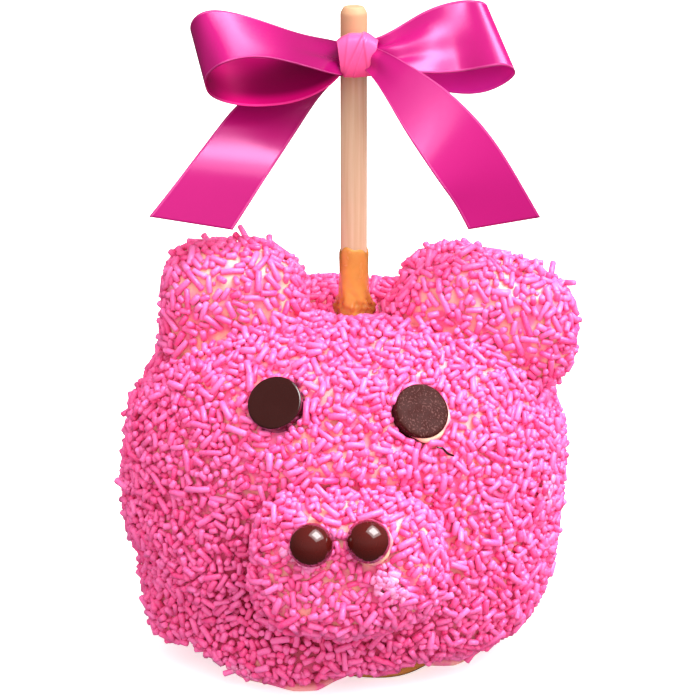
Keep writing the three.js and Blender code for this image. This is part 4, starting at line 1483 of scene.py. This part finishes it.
class PIG_OT_stage(bpy.types.Operator):
    """Sets the camera, the pale floor and the soft lights"""

    bl_idname = "pig.stage"
    bl_label = "Set Stage"

    def execute(self, context):
        settings = context.scene.pig_stage
        scene = context.scene
        scene.camera = self.camera(scene)
        scene.view_settings.view_transform = "Standard"
        self.floor(scene, settings)
        scene.world = self.surroundings(settings)
        self.light(scene, "key", settings.key, 1.58, 1.5)
        self.light(scene, "core", settings.core, 0.87, 1.49)
        return {"FINISHED"}

    @staticmethod
    def camera(scene):
        rise = math.radians(CAMERA_RISE)
        camera = bpy.data.objects.new("camera", bpy.data.cameras.new("camera"))
        camera.data.lens = CAMERA_LENS
        camera.data.clip_start = 0.01
        camera.location = CAMERA_TARGET + CAMERA_DISTANCE * Vector((0, -math.cos(rise), math.sin(rise)))
        camera.rotation_euler = (math.pi / 2 - rise, 0, 0)
        scene.collection.objects.link(camera)
        return camera

    @staticmethod
    def floor(scene, settings):
        """A pale floor that the object's gloss and shades don't pick up."""
        finish = Finish(
            "Pale Floor", Base_Color=settings.floor, Roughness=0.7, Emission_Color=(1, 1, 1),
            Emission_Strength=settings.glow,
        )
        bm = bmesh.new()
        bmesh.ops.create_circle(bm, cap_ends=True, segments=64, radius=6)
        mesh = bpy.data.meshes.new("floor")
        bm.to_mesh(mesh)
        bm.free()
        mesh.materials.append(finish.material)
        floor = bpy.data.objects.new("floor", mesh)
        floor.visible_glossy = False
        floor.visible_diffuse = False
        scene.collection.objects.link(floor)

    @staticmethod
    def light(scene, name, power, size, away):
        """A square light that faces the object from a distance."""
        data = bpy.data.lights.new(name, "AREA")
        data.shape = "SQUARE"
        data.size = size
        data.energy = power
        light = bpy.data.objects.new(name, data)
        light.location = LIGHT_TARGET + LIGHT_SIDE * away
        light.rotation_euler = (-LIGHT_SIDE).to_track_quat("-Z", "Y").to_euler()
        scene.collection.objects.link(light)

    @staticmethod
    def surroundings(settings):
        """Even light from above that weakens below, and is dimmer where a gloss mirrors it."""
        world = bpy.data.worlds.new("Surroundings")
        world.use_nodes = True
        nodes = Nodes(world.node_tree)
        direction = nodes.add("ShaderNodeTexCoord").outputs["Generated"]
        height = nodes.add("ShaderNodeSeparateXYZ", {0: direction}).outputs[2]
        ahead = nodes.add("ShaderNodeVectorMath", {0: direction, 1: FRONT_RIGHT}, operation="DOT_PRODUCT")
        raised = nodes.between(height, settings.below, 1, -0.35, 0.25)
        turned = nodes.between(ahead.outputs["Value"], 1 - settings.frontal, 1 + settings.frontal, -1, 1)
        glossy = nodes.add("ShaderNodeLightPath").outputs["Is Glossy Ray"]
        seen = nodes.between(glossy, settings.fill, settings.fill * settings.mirrored)
        strength = nodes.work("MULTIPLY", nodes.work("MULTIPLY", raised, turned), seen)
        background = world.node_tree.nodes["Background"]
        nodes.put(background.inputs["Color"], (1.0, 0.95, 0.92))
        nodes.put(background.inputs["Strength"], strength)
        return world


# ------------------------------------------------------------------ panel and running
class PIG_PT_panel(bpy.types.Panel):
    """The pieces of the dipped apple and their settings"""

    bl_label = "Dipped Apple"
    bl_idname = "PIG_PT_panel"
    bl_space_type = "VIEW_3D"
    bl_region_type = "UI"
    bl_category = "Dipped Apple"

    def draw(self, context):
        for group, operators in PARTS.items():
            box = self.layout.box()
            settings = getattr(context.scene, group)
            for key in settings.bl_rna.properties.keys():
                if key not in ("rna_type", "name"):
                    box.prop(settings, key)
            for operator in operators:
                box.operator(operator.bl_idname)


GROUPS = {
    "pig_coat": CoatSettings,
    "pig_strands": StrandSettings,
    "pig_chocolate": ChocolateSettings,
    "pig_stick": StickSettings,
    "pig_ribbon": RibbonSettings,
    "pig_stage": StageSettings,
}
PARTS = {
    "pig_stage": (PIG_OT_stage,),
    "pig_coat": (PIG_OT_coat,),
    "pig_strands": (PIG_OT_strands,),
    "pig_chocolate": (PIG_OT_face,),
    "pig_stick": (PIG_OT_stick, PIG_OT_caramel),
    "pig_ribbon": (PIG_OT_bow,),
}


def register():
    for group, kind in GROUPS.items():
        bpy.utils.register_class(kind)
        setattr(bpy.types.Scene, group, bpy.props.PointerProperty(type=kind))
    for operators in PARTS.values():
        for operator in operators:
            bpy.utils.register_class(operator)
    bpy.utils.register_class(PIG_PT_panel)


def unregister():
    bpy.utils.unregister_class(PIG_PT_panel)
    for operators in PARTS.values():
        for operator in operators:
            bpy.utils.unregister_class(operator)
    for group, kind in GROUPS.items():
        delattr(bpy.types.Scene, group)
        bpy.utils.unregister_class(kind)


def main():
    register()
    for step in ("stage", "coat", "strands", "face", "stick", "caramel", "bow"):
        getattr(bpy.ops.pig, step)()


if __name__ == "__main__":
    main()
